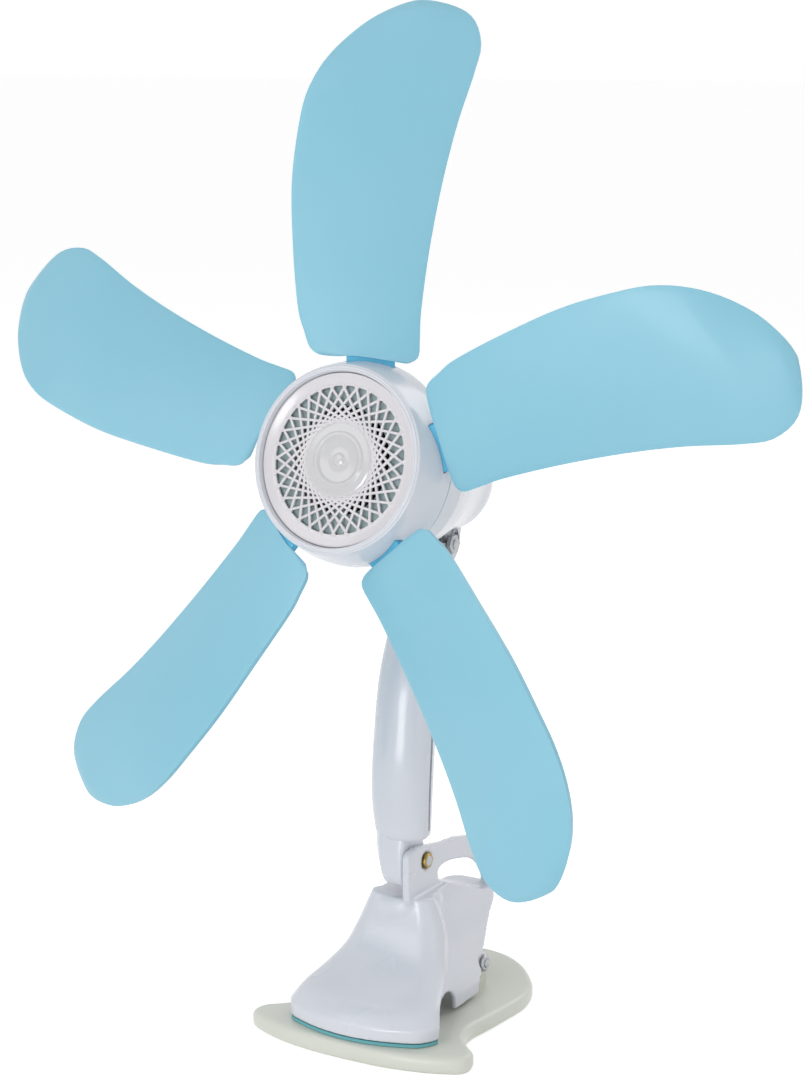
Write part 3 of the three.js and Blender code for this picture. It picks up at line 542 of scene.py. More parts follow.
@dataclass
class Dresser:
    """Gives each finished piece its material and body, and reports it."""

    palette: Palette

    def dress(self, obj: bpy.types.Object, finish: str, body: Body, stands_for: Iterable[str] = ()) -> None:
        """Dresses a new piece.

        Args:
            obj: the piece, in place.
            finish: the palette's field name.
            body: what it rides on.
            stands_for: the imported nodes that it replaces.
        """
        obj.data.materials.clear()
        obj.data.materials.append(self.palette.get(finish))
        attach(obj, body.value)
        for node in stands_for:
            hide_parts(node)
        log.info("%s: %d faces, %s, on %s", obj.name, len(obj.data.polygons), finish, body.value)

    def paint(self, node: str, finish: str) -> None:
        """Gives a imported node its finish."""
        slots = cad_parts[node].data.materials
        slots.clear()
        slots.append(self.palette.get(finish))
        log.info("%s: %s", node, finish)


# ---------------------------------------------------------------- rotor
@dataclass
class Blades:
    """Five forward-swept blades, each a thin arched leaf on a flat stem."""

    count: int = 5
    reach: float = 200.0
    thick: float = 2.2
    camber: float = 2.2
    full_chord: float = 30.0         # a shorter row, towards the tip, is arched less
    rows: int = 64
    columns: int = 20
    trailing: tuple[Pair, ...] = (
        (-11.0, 47.0), (-15.6, 47.9), (-17.9, 50.8), (-19.3, 56.0), (-21.6, 66.0), (-23.0, 92.0), (-23.4, 120.0),
        (-21.0, 145.0), (-18.3, 160.0), (-12.5, 174.0), (-3.5, 186.0), (8.0, 195.0), (24.0, 200.3))
    leading: tuple[Pair, ...] = (
        (22.5, 43.2), (26.4, 44.0), (28.0, 46.8), (28.2, 54.0), (28.6, 66.0), (31.5, 92.0), (36.0, 120.0),
        (41.5, 145.0), (48.3, 168.0), (50.3, 182.0), (43.5, 194.5), (24.0, 200.3))
    arch: tuple[Pair, ...] = (
        (0.235, -9.0), (0.46, -5.0), (0.725, -2.6), (0.84, -3.6), (0.93, -7.4), (1.0, -10.5))
    slope: tuple[Pair, ...] = ((0.235, -0.33), (0.46, -0.42), (0.725, -0.44), (0.93, -0.34), (1.0, -0.32))
    stem_width: float = 21.0
    stem_thick: float = 3.6
    stem_pitch: float = 22.0
    stem_at: tuple[float, float] = (8.0, -11.5)
    stem_from: float = 34.6

    def height(self, x: float, y: float, u: float) -> float:
        """How far the leaf's middle stands in front of the grille plane."""
        t = min(1.0, y / self.reach)
        return along(self.arch, t) + along(self.slope, t) * x + self.camber * 4 * u * (1 - u)

    def edges(self) -> tuple[list[list[float]], list[list[float]]]:
        """The trailing and the leading edge, from the root to the tip, each as rows + 1 points."""
        tip_t, tip_l = self.leading[-2], self.trailing[-2]
        trail = even_points([*self.trailing, tip_t], 400)
        lead = even_points([*self.leading, tip_l], 400)
        out = []
        for side, end in ((trail, self.trailing[-1]), (lead, self.leading[-1])):
            stop = min(range(len(side)), key=lambda k: hypot(side[k][0] - end[0], side[k][1] - end[1]))
            kept = side[:stop] + [list(end)]
            out.append([kept[round((len(kept) - 1) * self.pace(j / self.rows))] for j in range(self.rows + 1)])
        return out[0], out[1]

    @staticmethod
    def pace(share: float) -> float:
        """Rows crowd together at the root's corners and at the tip."""
        return 0.5 - 0.5 * cos(pi * share)

    def leaf(self, bm: bmesh.types.BMesh) -> None:
        """The leaf as one curved sheet."""
        trail, lead = self.edges()
        bmesh.ops.create_grid(bm, x_segments=self.columns, y_segments=self.rows, size=0.5)
        for v in bm.verts:
            u = v.co.x + 0.5
            j = round((v.co.y + 0.5) * self.rows)
            x = trail[j][0] + (lead[j][0] - trail[j][0]) * u
            y = trail[j][1] + (lead[j][1] - trail[j][1]) * u
            chord = hypot(lead[j][0] - trail[j][0], lead[j][1] - trail[j][1])
            flatter = self.camber * 4 * u * (1 - u) * max(0.0, 1 - chord / self.full_chord)
            v.co = (x, y, self.height(x, y, u) - flatter)
        bmesh.ops.remove_doubles(bm, verts=bm.verts, dist=0.02)

    def stem(self, bm: bmesh.types.BMesh) -> None:
        """The stem: flat in its slot, then thinning as it runs into the back of the leaf."""
        x0, z0 = self.stem_at
        rings = []
        for y, wide, thick, blend in ((self.stem_from, 21.0, 3.6, 0), (44.5, 21.0, 3.6, 0), (48.0, 21.0, 3.2, 0.3),
                                      (53.0, 20.6, 2.6, 0.8), (58.0, 19.0, 2.0, 1), (64.0, 15.0, 1.6, 1)):
            pitch = radians(self.stem_pitch - 3.0 * blend)
            on_leaf = self.height(x0, max(y, 47.0), 0.5) - 0.95
            z = z0 + (on_leaf - z0) * blend
            flat = rounded([(-wide / 2, -thick / 2), (wide / 2, -thick / 2), (wide / 2, thick / 2),
                            (-wide / 2, thick / 2)], 0.8)
            rings.append([Vector((x0 + u * cos(pitch) + w * sin(pitch), y, z - u * sin(pitch) + w * cos(pitch)))
                          for u, w in flat])
        loft(bm, rings)

    def build(self, dresser: Dresser) -> None:
        """Builds and dresses every blade."""
        for k in range(self.count):
            turn = Matrix.Rotation(-2 * pi * k / self.count, 4, "Z")
            blade = make(f"blade_leaf_{k + 1}", self.leaf)
            shell = blade.modifiers.new("wall", "SOLIDIFY")
            shell.thickness, shell.offset, shell.use_even_offset = self.thick, 0.0, False
            rim = blade.modifiers.new("rim", "BEVEL")
            rim.width, rim.segments, rim.limit_method, rim.angle_limit = 0.8, 3, "ANGLE", radians(60)
            settle(blade)
            stem = make(f"blade_stem_{k + 1}", self.stem)
            # the stems take the deeper blue of painted shade
            for piece, finish in ((blade, "blue"), (stem, "painted_shade_blue")):
                place(piece, ROTOR @ turn, 50)
                dresser.dress(piece, finish, Body.ROTOR, [f"blade_{k + 1}"])


@dataclass
class Hub:
    """The turned hub: stepped rim, drum, lattice grille and polished middle."""

    drum_r: float = 45.0
    drum_depth: float = 20.0
    wall: float = 2.4
    grille_r: float = 37.5
    lattice_r: float = 32.0
    disc_r: float = 16.6
    grille_thick: float = 2.0
    ribs: int = 32
    rib_wide: float = 1.15
    web_bore: float = 23.5           # hole in the web behind the lattice
    rib_deep: float = 1.2

    def shell(self, bm: bmesh.types.BMesh) -> None:
        """The drum with its stepped rim."""
        inner = self.drum_r - self.wall
        seat = -self.grille_thick - GAP
        profile = [(37.8, 1.0), (38.2, 2.7), (38.8, 3.0), (39.2, 2.5), (40.0, 2.5), (40.3, 1.9), (40.9, 1.7),
                   (41.4, 0.3), (42.4, -4.0), (43.8, -9.0), (44.5, -13.0), (self.drum_r, -18.0),
                   (self.drum_r, -self.drum_depth), (inner, -self.drum_depth), (inner, -12.0),
                   (39.0, seat - 2.4), (34.0, seat - 2.4), (34.0, seat), (37.8, seat)]
        turn_profile(bm, rounded(profile, 0.5), 128)

    def slots(self, bm: bmesh.types.BMesh) -> None:
        """The slots that the blades' stems pass through."""
        blades = Blades()
        size = (blades.stem_width + 2 * GAP, 16.0, blades.stem_thick + 2 * GAP)
        for k in range(blades.count):
            at = (Matrix.Rotation(-2 * pi * k / blades.count, 4, "Z")
                  @ Matrix.Translation((blades.stem_at[0], self.drum_r, blades.stem_at[1]))
                  @ Matrix.Rotation(radians(blades.stem_pitch), 4, "Y"))
            block(bm, size, at)

    def dish(self, bm: bmesh.types.BMesh) -> None:
        """The grille's outer ring, hollowed like a dish."""
        low = -self.grille_thick
        turn_profile(bm, rounded([(self.lattice_r, low), (self.grille_r, low), (self.grille_r, 0.35),
                                  (36.6, 0.4), (35.4, -0.1), (33.6, -0.65), (self.lattice_r, -0.8)], 0.3), 128)

    def middle(self, bm: bmesh.types.BMesh) -> None:
        """The closed middle with its raised ring and nub."""
        low = -self.grille_thick
        turn_profile(bm, rounded([(0.0, low), (self.disc_r, low), (self.disc_r, -0.75), (15.2, -0.35), (12.6, -0.2),
                                  (11.6, 0.35), (10.6, 0.38), (9.4, -0.55), (5.4, -1.05), (3.2, -0.95),
                                  (2.4, -0.25), (1.2, 0.1), (0.0, 0.15)], 0.6, closed=False), 96, closed=False)

    def lattice(self, bm: bmesh.types.BMesh) -> None:
        """Two crossing families of straight ribs, each running past the middle at its edge."""
        off = self.disc_r - self.rib_wide / 2
        reach = sqrt((self.lattice_r + 1.2) ** 2 - off ** 2)
        for k in range(self.ribs):
            for side in (-1, 1):
                at = (Matrix.Rotation(2 * pi * (k + 0.25 * (1 + side)) / self.ribs, 4, "Z")
                      @ Matrix.Translation((side * off, reach / 2, -1.25 + 0.06 * side)))
                block(bm, (self.rib_wide, reach, self.rib_deep), at, 0.22)

    def build(self, dresser: Dresser) -> None:
        """Builds and dresses the hub."""
        shell = make("hub_drum", self.shell)
        carve(shell, Carve.CUT, self.slots)
        place(shell, ROTOR, 32)
        dresser.dress(shell, "white", Body.ROTOR, ["rotor_shell"])
        spider = make("hub_spider", self.spider)
        place(spider, ROTOR)
        # the web behind the grille is painted with shade: a darker grey-green copy of the white
        dresser.dress(spider, "painted_shade_white", Body.ROTOR, ["rotor_shell"])
        # the grille's dish and lattice take the pinker copy of the white as painted light
        for name, build, finish in (("grille_dish", self.dish, "painted_light_white"), ("grille_lattice", self.lattice, "painted_light_white"),
                                    ("grille_middle", self.middle, "polish")):
            piece = make(name, build)
            place(piece, ROTOR, 40)
            dresser.dress(piece, finish, Body.ROTOR, ["front_grille"])

    def spider(self, bm: bmesh.types.BMesh) -> None:
        """Web, spokes and boss behind the grille that carry the motor's cup."""
        seat = -self.grille_thick - GAP
        turn_profile(bm, rounded([(self.web_bore, seat - 2.3), (34.2, seat - 2.3), (34.2, seat - 0.7),
                                  (self.web_bore, seat - 0.7)], 0.3), 96)
        turn_profile(bm, [(2.8, seat - 7), (13.0, seat - 7), (13.0, seat - 0.6), (2.8, seat - 0.6)], 64)
        for k in range(5):
            at = (Matrix.Rotation(-2 * pi * (k + 0.5) / 5, 4, "Z") @ Matrix.Translation((0, 24.0, seat - 1.3)))
            block(bm, (5.0, 24.0, 1.9), at, 0.3)


# ---------------------------------------------------------------- head
@dataclass
class Housing:
    """The bullet-shaped rear housing with its hinge ears, and the seam behind the drum."""

    radius: float = 41.0
    end: float = 116.0
    dome: float = 24.5
    wall: float = 2.2
    front: float = -21.2
    eye_r: float = 9.0
    ear_half: float = 7.1
    cheek: float = 4.1
    neck: tuple[float, float] = (86.0, 222.0)
    bolt_r: float = 2.65

    def bullet(self, inset: float, front: float, flange: Sequence[Pair]) -> list[Pair]:
        """The turned outline of the housing, set in by a wall."""
        at = -(self.end - self.dome)
        r = self.dome - inset
        body = [(self.radius - inset - 0.6, -40.0), (37 - inset, -54.0), (31.2 - inset, -70.0),
                (27.4 - inset, -81.0), (self.dome + 0.6 - inset, at + 2)]
        cap = [(r * cos(radians(90 * k / 16)), at - r * sin(radians(90 * k / 16))) for k in range(1, 17)]
        return [(0.0, front), *flange, *body, *cap[:-1], (0.0, at - r)]

    def outside(self, bm: bmesh.types.BMesh) -> None:
        """The closed outer form."""
        flange = [(43.2, self.front), (44.0, self.front - 0.8), (44.0, self.front - 2.0), (43.2, self.front - 2.8),
                  (41.8, self.front - 3.6), (41.1, self.front - 5.5)]
        turn_profile(bm, rounded(self.bullet(0, self.front, flange), 3.0, closed=False), 96, closed=False)

    def inside(self, bm: bmesh.types.BMesh) -> None:
        """The hollow."""
        turn_profile(bm, self.bullet(self.wall, self.front + 1, [(self.radius - self.wall, self.front + 1)]), 64,
                     closed=False)

    def neck_at(self) -> Vector:
        """The head hinge in the head's own frame, in millimetres."""
        y, z = self.neck
        return HEAD.inverted() @ (SIDE @ Vector((0.0, y, z)))

    def ears(self, bm: bmesh.types.BMesh) -> None:
        """The round block for the arm's eye, grown from the housing's underside."""
        at = self.neck_at()
        rod(bm, Vector((-self.ear_half, at.y, at.z)), Vector((self.ear_half, at.y, at.z)), self.eye_r, 48)
        block(bm, (2 * self.ear_half, 14.0, 2 * self.eye_r), Matrix.Translation((0, at.y + 7, at.z)))

    def openings(self, bm: bmesh.types.BMesh) -> None:
        """The room for the arm's eye."""
        at = self.neck_at()
        rod(bm, Vector((-self.cheek, at.y, at.z)), Vector((self.cheek, at.y, at.z)), self.eye_r + 1, 48)
        block(bm, (2 * self.cheek, 34.0, 2 * self.eye_r + 8), Matrix.Translation((0, at.y - 14, at.z)))

    def bolt_hole(self, bm: bmesh.types.BMesh) -> None:
        """The bolt's hole through both ears."""
        at = self.neck_at()
        rod(bm, Vector((-60, at.y, at.z)), Vector((60, at.y, at.z)), self.bolt_r, 32)

    def vents(self, bm: bmesh.types.BMesh) -> None:
        """Air slots with round ends in the rear."""
        for k in range(-2, 3):
            long = 16 - 2 * abs(k)
            x = k * 6.4
            block(bm, (3.0, long - 3, 30.0), Matrix.Translation((x, 4.0, -self.end)))
            for side in (-1, 1):
                y = 4.0 + side * (long - 3) / 2
                rod(bm, Vector((x, y, -self.end - 15)), Vector((x, y, -self.end + 15)), 1.5, 20)

    def seam(self, bm: bmesh.types.BMesh) -> None:
        """The thin ring that shows between drum and housing."""
        turn_profile(bm, rounded([(41.8, -20.2), (44.6, -20.2), (44.6, -21.0), (41.8, -21.0)], 0.25), 128)

    def build(self, dresser: Dresser) -> None:
        """Builds and dresses the housing and paints the motor."""
        shell = make("housing_shell", self.outside)
        carve(shell, Carve.JOIN, self.ears)
        carve(shell, Carve.CUT, self.inside)
        carve(shell, Carve.CUT, self.openings)
        carve(shell, Carve.CUT, self.bolt_hole)
        carve(shell, Carve.CUT, self.vents)
        place(shell, HEAD, 38)
        dresser.dress(shell, "white", Body.HEAD, ["rear_housing"])
        seam = make("drum_seam", self.seam)
        place(seam, HEAD)
        dresser.dress(seam, "teal", Body.HEAD)
        # the motor's cup takes chromated steel with a middle of painted shade
        for node, finish in (("motor_base", "dark"), ("magnet_ring", "dark"), ("rotor_can", "cup"),
                             ("front_bearing", "brass"), ("rear_bearing", "brass"), ("rotor_shaft", "steel"),
                             ("shaft_clip", "steel"), ("stator_core", "laminate")):
            dresser.paint(node, finish)
        for k in range(1, 9):
            dresser.paint(f"stator_coil_{k}", "copper")
        for k in range(1, 6):
            dresser.paint(f"blade_screw_{k}", "steel")


# ---------------------------------------------------------------- arm
@dataclass
class Arm:
    """The bent arm of two half shells, its eye at the top and its tongue at the foot."""

    line: tuple[Pair, ...] = ((83.0, 207.0), (76.5, 196.0), (68.5, 182.0), (60.6, 162.0), (57.0, 138.0),
                              (54.6, 110.0), (56.0, 90.0))
    widths: tuple[Pair, ...] = ((0.0, 26.0), (0.35, 28.0), (0.8, 29.5), (1.0, 27.0))
    flat: float = 0.86
    tongue_half: float = 3.8
    foot_to: float = 5.1
    foot_rows: tuple[tuple[float, ...], ...] = (
        (96.0, -12.0, 47.6, 64.6), (90.0, -12.6, 47.0, 65.5), (84.0, -12.2, 46.0, 67.0), (78.0, -11.4, 45.3, 69.0),
        (73.0, -10.4, 45.4, 70.4), (70.0, -9.6, 46.2, 69.6), (68.0, -8.7, 47.8, 67.6), (67.0, -7.6, 50.0, 65.0),
        (66.6, -6.4, 52.0, 63.0))
    neck: tuple[float, float] = (86.0, 222.0)
    foot: tuple[float, float] = (62.0, 77.0)
    eye_r: float = 9.0
    bolt_r: float = 2.65
    steps: int = 56
    arc: int = 24

    def ring(self, t: float, shrink: float, start: float, end: float) -> Ring:
        """Part of the arm's cross section.

        Args:
            t: how far down the arm, 0 to 1.
            shrink: how much smaller than full size, as a share.
            start: first angle in degrees; 0 is the right side and 90 the back.
            end: last angle.

        Returns:
            The ring's points.
        """
        pts = self.samples
        k = t * (len(pts) - 1)
        i = min(int(k), len(pts) - 2)
        w = k - i
        y, z = (pts[i][n] + (pts[i + 1][n] - pts[i][n]) * w for n in (0, 1))
        d = Vector((pts[i + 1][0] - pts[i][0], pts[i + 1][1] - pts[i][1])).normalized()
        side = Vector((0.0, -d.y, d.x))
        wide = along(self.widths, t) / 2 * (1 - shrink)
        flat = self.flat - 0.14 * max(0.0, t - 0.7) / 0.3
        out = []
        for n in range(self.arc + 1):
            a = radians(start + (end - start) * n / self.arc)
            out.append(Vector((wide * cos(a), y, z)) + side * wide * flat * sin(a))
        return out

    def __post_init__(self) -> None:
        """Measures out the arm's line once."""
        self.samples = even_points(self.line, 200)

    def half(self, bm: bmesh.types.BMesh, back: bool) -> None:
        """One half shell, closed, its ends rounded over and its joint set back by the gap."""
        start, end = (4.0, 176.0) if back else (184.0, 356.0)
        last = 0.985 if back else 1.0
        stations = [(0.0, 0.30), (0.004, 0.16), (0.012, 0.06), (0.025, 0.0)]
        stations += [(0.025 + (last - 0.05) * k / self.steps, 0.0) for k in range(1, self.steps)]
        stations += [(last - 0.02, 0.0), (last - 0.008, 0.03), (last, 0.1)]
        loft(bm, [self.ring(t, shrink, start, end) for t, shrink in stations])

    def eye(self, bm: bmesh.types.BMesh) -> None:
        """The eye that the head turns on."""
        y, z = self.neck
        cross_rod(bm, -self.tongue_half, self.tongue_half, y, z, self.eye_r, 64, 0.5)
        block(bm, (2 * self.tongue_half, 13.0, 17.0), Matrix.Translation((0, y - 1.5, z - 9.5)), 0.5)

    def tongue(self, bm: bmesh.types.BMesh) -> None:
        """The arm's foot, which turns beside the clip's lug."""
        rings = []
        for z, left, y0, y1 in self.foot_rows:
            deep = y1 - y0
            flat = [(self.foot_to, y0), (self.foot_to, y1), (left + 4, y1), (left, y1 - 0.25 * deep),
                    (left, y0 + 0.3 * deep), (left + 5, y0)]
            rings.append([Vector((x, y, z)) for x, y in rounded(flat, 2.5)])
        loft(bm, rings)

    def foot_cap(self, bm: bmesh.types.BMesh) -> None:
        """The short full section where the two shells meet the tongue."""
        rings = []
        for t, shrink in ((0.97, 0.02), (0.975, 0.006), (0.99, 0.03), (1.0, 0.1)):
            full = self.ring(t, shrink, 0.0, 360.0)
            rings.append(full[:-1])
        loft(bm, rings)

    def holes(self, bm: bmesh.types.BMesh) -> None:
        """The bolts' holes."""
        for y, z in (self.neck, self.foot):
            cross_rod(bm, -40, 40, y, z, self.bolt_r, 32)

    def bush(self, bm: bmesh.types.BMesh) -> None:
        """The ribbed bush at the arm's back."""
        profile = [(3.0, 0.0), (5.0, 0.0), (5.0, 7.0), (6.4, 7.3), (6.4, 9.2), (5.0, 9.6), (4.6, 11.0), (3.0, 11.0)]
        turn_profile(bm, rounded(profile, 0.4), 48)

    def build(self, dresser: Dresser) -> None:
        """Builds and dresses the arm."""
        front = make("arm_front_shell", lambda bm: self.half(bm, False))
        carve(front, Carve.JOIN, self.foot_cap)
        carve(front, Carve.JOIN, self.tongue)
        carve(front, Carve.CUT, self.holes)
        place(front, SIDE, 40)
        dresser.dress(front, "white", Body.ARM, ["arm_front"])
        rear = make("arm_rear_shell", lambda bm: self.half(bm, True))
        carve(rear, Carve.JOIN, self.eye)
        carve(rear, Carve.CUT, self.holes)
        place(rear, SIDE, 40)
        dresser.dress(rear, "white", Body.ARM, ["arm_rear"])
        low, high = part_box("lead_bush")
        bush = make("arm_bush", self.bush)
        centre = Vector(((low.x + high.x) / 2, low.y, (low.z + high.z) / 2))
        place(bush, Matrix.Translation(centre) @ Matrix.Rotation(-pi / 2, 4, "X") @ Matrix.Scale(MM, 4))
        dresser.dress(bush, "dark", Body.ARM, ["lead_bush"])


# ---------------------------------------------------------------- clip
@dataclass
class UpperJaw:
    """The flared upper jaw with its boss, hinge lugs and handle loop, and the pad under its lip."""

    lip_half: float = 38.5
    lip_height: float = 6.0
    low: float = 10.0
    wall: float = 2.6
    cheek: float = 28.0              # half width behind the lip's flare
    shoulder: float = 40.0           # where that flare has run out
    slot_to: float = 5.4
    lug_out: float = 9.0
    handle_thick: float = 3.6
    bolt: tuple[float, float] = (62.0, 77.0)
    pin: tuple[float, float] = (89.0, 21.0)
    notch: tuple[float, float] = (46.0, 11.6)
    notch_r: float = 9.8
    ear_half: float = 21.0
    ear_thick: float = 2.8
    lever_roof: float = 44.0
    voxel: float = 0.7
    corner_steps: int = 6
    side_steps: int = 10

    def stations(self, inset: float, drop: float) -> list[list[float]]:
        """Plan sections from the lip up: height, half widths in front, at the shoulder and behind, and so on."""
        lip, cheek = self.low + self.lip_height, self.cheek
        rows = [[self.low - drop, self.lip_half, cheek, cheek, 14, 92, 7, 11],
                [lip, self.lip_half + 0.5, cheek + 1, cheek - 1, 14.5, 96, 7, 11],
                [22.5, self.lip_half - 3, cheek + 1, 24, 20, 108, 8, 9],
                [28, 31.4, 27, 21.5, 30.5, 114, 9, 6],
                [36, 26, 24, 18.5, 40, 120, 9, 3.2],
                [46, 22.5, 19.5, 14, 46, 125, 9, 1.6],
                [56, 18.5, 15.5, 11, 48.5, 124, 8, 0.7],
                [62 - inset, 15.5, 12.5, 9.6, 49, 120, 7, 0.3]]
        return [[z, w - inset, c - inset, r - inset, y0 + inset, y1 - inset, corner, bow]
                for z, w, c, r, y0, y1, corner, bow in rows]

    def section(self, z: float, wide: float, cheek: float, rear: float, y0: float, y1: float, corner: float,
                bow: float) -> Ring:
        """A rounded plan section with its front bowed forward and its sides drawn in behind the lip."""
        r = min(corner, rear * 0.95, (y1 - y0) * 0.48)
        start, end = y0 + r, y1 - r
        shoulder = max(self.shoulder, start + 4)
        side = []
        for k in range(1, self.side_steps):
            y = start + (end - start) * k / self.side_steps
            flare = max(0.0, (shoulder - y) / (shoulder - start)) ** 2
            back = max(0.0, (y - shoulder) / (end - shoulder))
            side.append((cheek + (wide - cheek) * flare + (rear - cheek) * back, y))
        out = []
        for cx, cy, turn in ((wide - r, start, -90), (rear - r, end, 0), (-rear + r, end, 90),
                             (-wide + r, start, 180)):
            out += [Vector((x, y, z)) for x, y in side] if turn == 0 else []
            out += [Vector((-x, y, z)) for x, y in reversed(side)] if turn == 180 else []
            for k in range(self.corner_steps + 1):
                a = radians(turn + 90 * k / self.corner_steps)
                x, y = cx + r * cos(a), cy + r * sin(a)
                front = max(0.0, (start - y) / r)
                out.append(Vector((x, y - bow * front * (1 - (x / wide) ** 2), z)))
        for k in range(1, 12):
            x = -(wide - r) + 2 * (wide - r) * k / 12
            out.append(Vector((x, y0 - bow * (1 - (x / wide) ** 2), z)))
        return out

    def skin(self, bm: bmesh.types.BMesh, inset: float, drop: float) -> None:
        """The flared form."""
        rows = self.stations(inset, drop)
        smooth = [rows[0]] + [spline(rows[1:], k / 24) for k in range(25)]
        loft(bm, [self.section(*row) for row in smooth])

    def boss(self, bm: bmesh.types.BMesh) -> None:
        """The round boss under the arm's foot."""
        turn_profile(bm, rounded([(0, 40), (11, 40), (14.5, 50), (15.8, 56), (15.4, 59.5), (13.6, 62), (0, 62)], 1.2,
                                 closed=False), 64, closed=False)
        bmesh.ops.translate(bm, verts=bm.verts, vec=(0, self.bolt[0] - 1, 0))

    def lever_cut(self, bm: bmesh.types.BMesh) -> None:
        """Frees the lever from the foot, behind the pin."""
        y, z = self.pin
        end = y - 4.8
        rise = [(end - 5.2, 0), (end - 4.2, 14), (end, z - 3), (end, z + 4.8), (y + 4, z + 6.4), (y + 14, 35.5),
                (118, 43), (126, 45.5)]
        extrude_outline(bm, [(end - 5.4, -5), *[spline(rise, k / 32)[:2] for k in range(33)], (160, 45.5),
                             (160, -5)], -60, 60, across)

    def hollow(self, bm: bmesh.types.BMesh) -> None:
        """The hollow inside, up to the solid top."""
        self.skin(bm, self.wall, 8)

    def top(self, bm: bmesh.types.BMesh) -> None:
        """What the hollow leaves solid."""
        extrude_outline(bm, [(40, 54), (100, 47), (140, 45.5), (140, 80), (40, 80)], -60, 60, across)

    def fin(self, bm: bmesh.types.BMesh) -> None:
        """The lug and the handle loop in one upright plate."""
        outline = [(45.5, 62), (45.2, 82), (47, 84.5), (52, 85.6), (64, 83.8), (78, 81.2), (92, 79.8), (106, 76.6),
                   (118, 70.5), (125, 62.5), (127, 55), (124, 47.5), (117, 42), (96, 42), (60, 42), (50, 54)]
        extrude_outline(bm, rounded(outline, 6.0, steps=5), self.lug_out - self.handle_thick, self.lug_out, across)

    def spaces(self) -> list[Callable[[bmesh.types.BMesh], None]]:
        """Every cut of the finished form, in order."""
        y, z = self.bolt
        window = [(73.5, 69.5), (80, 70.6), (90, 69.4), (104, 65.8), (114.5, 59.8), (120.5, 51.4), (118, 48.4),
                  (108, 50), (92, 56.5), (79, 61.6), (73.5, 65.5)]
        loop = [spline([*window, window[0]], k / 60)[:2] for k in range(60)]
        return [
            lambda bm: extrude_outline(bm, [(58, -5), (126, -5), (126, self.lever_roof), (58, self.lever_roof)],
                                       -10.2, 10.2, across),
            lambda bm: extrude_outline(bm, loop, -30, 30, across),
            lambda bm: extrude_outline(bm, [(70, 63), (79, 61.6), (92, 56.5), (108, 50), (118, 48.4), (140, 48.4),
                                            (140, 90), (70, 90)], -60, self.lug_out - self.handle_thick, across),
            lambda bm: extrude_outline(bm, [(30, 62.3), (73, 62.3), (73, 100), (30, 100)], -60, self.slot_to, across),
            lambda bm: cross_rod(bm, -60, 60, *self.notch, self.notch_r, 48),
            lambda bm: cross_rod(bm, -40, 40, y, z, 2.65, 32),
            lambda bm: cross_rod(bm, self.lug_out - 1.2, 30, y, z, 4.4, 48),
        ]

    def webs(self, bm: bmesh.types.BMesh) -> None:
        """The inner webs that carry the pin."""
        y, z = self.pin
        outline = [(y - 12, z + 5), (y - 12, z), (y - 5, z - 4.6), (y, z - 5.4), (y + 4, z - 3.6), (y + 5.4, z),
                   (y + 4, z + 3.6), (y, z + 5)]
        for side in (-1, 1):
            x0 = self.ear_half + GAP if side > 0 else -self.ear_half - GAP - self.ear_thick
            extrude_outline(bm, rounded(outline, 2.0), x0, x0 + self.ear_thick, across)

    def pad(self, bm: bmesh.types.BMesh) -> None:
        """The rubber pad, bowed like the lip."""
        half = self.lip_half - 0.4
        outline = []
        for k in range(49):
            x = half * (1 - k / 24)
            over = max(0.0, abs(x) - (half - 6)) / 6
            outline.append((x, 14.4 - 11 * (1 - (x / half) ** 2) + 5 * over * over))
        end = self.notch[0] - self.notch_r - 0.6
        outline += [(-half, 21), (-self.cheek, end), (self.cheek, end), (half, 21)]
        extrude_outline(bm, outline, 8.3, self.low - GAP, upward)

    def build(self, dresser: Dresser) -> None:
        """Builds and dresses the upper jaw and its pad."""
        jaw = make("jaw_upper_shell", lambda bm: self.skin(bm, 0, 0))
        carve(jaw, Carve.JOIN, self.boss)
        carve(jaw, Carve.CUT, self.lever_cut)
        core = make("core", self.hollow)
        carve(core, Carve.CUT, self.top)
        bm_core = core.data
        carve(jaw, Carve.CUT, lambda bm: bm.from_mesh(bm_core))
        bpy.data.objects.remove(core)
        carve(jaw, Carve.JOIN, self.fin)
        for space in self.spaces():
            carve(jaw, Carve.CUT, space)
        carve(jaw, Carve.JOIN, self.webs)
        carve(jaw, Carve.CUT, lambda bm: cross_rod(bm, -40, 40, *self.pin, 2.1, 32))
        melt(jaw, self.voxel, 2)
        place(jaw, SIDE, 80)
        dresser.dress(jaw, "white", Body.CLIP, ["upper_jaw"])
        pad = make("jaw_grip_pad", self.pad)
        place(pad, SIDE, 40)
        dresser.dress(pad, "teal", Body.CLIP, ["jaw_pad"])


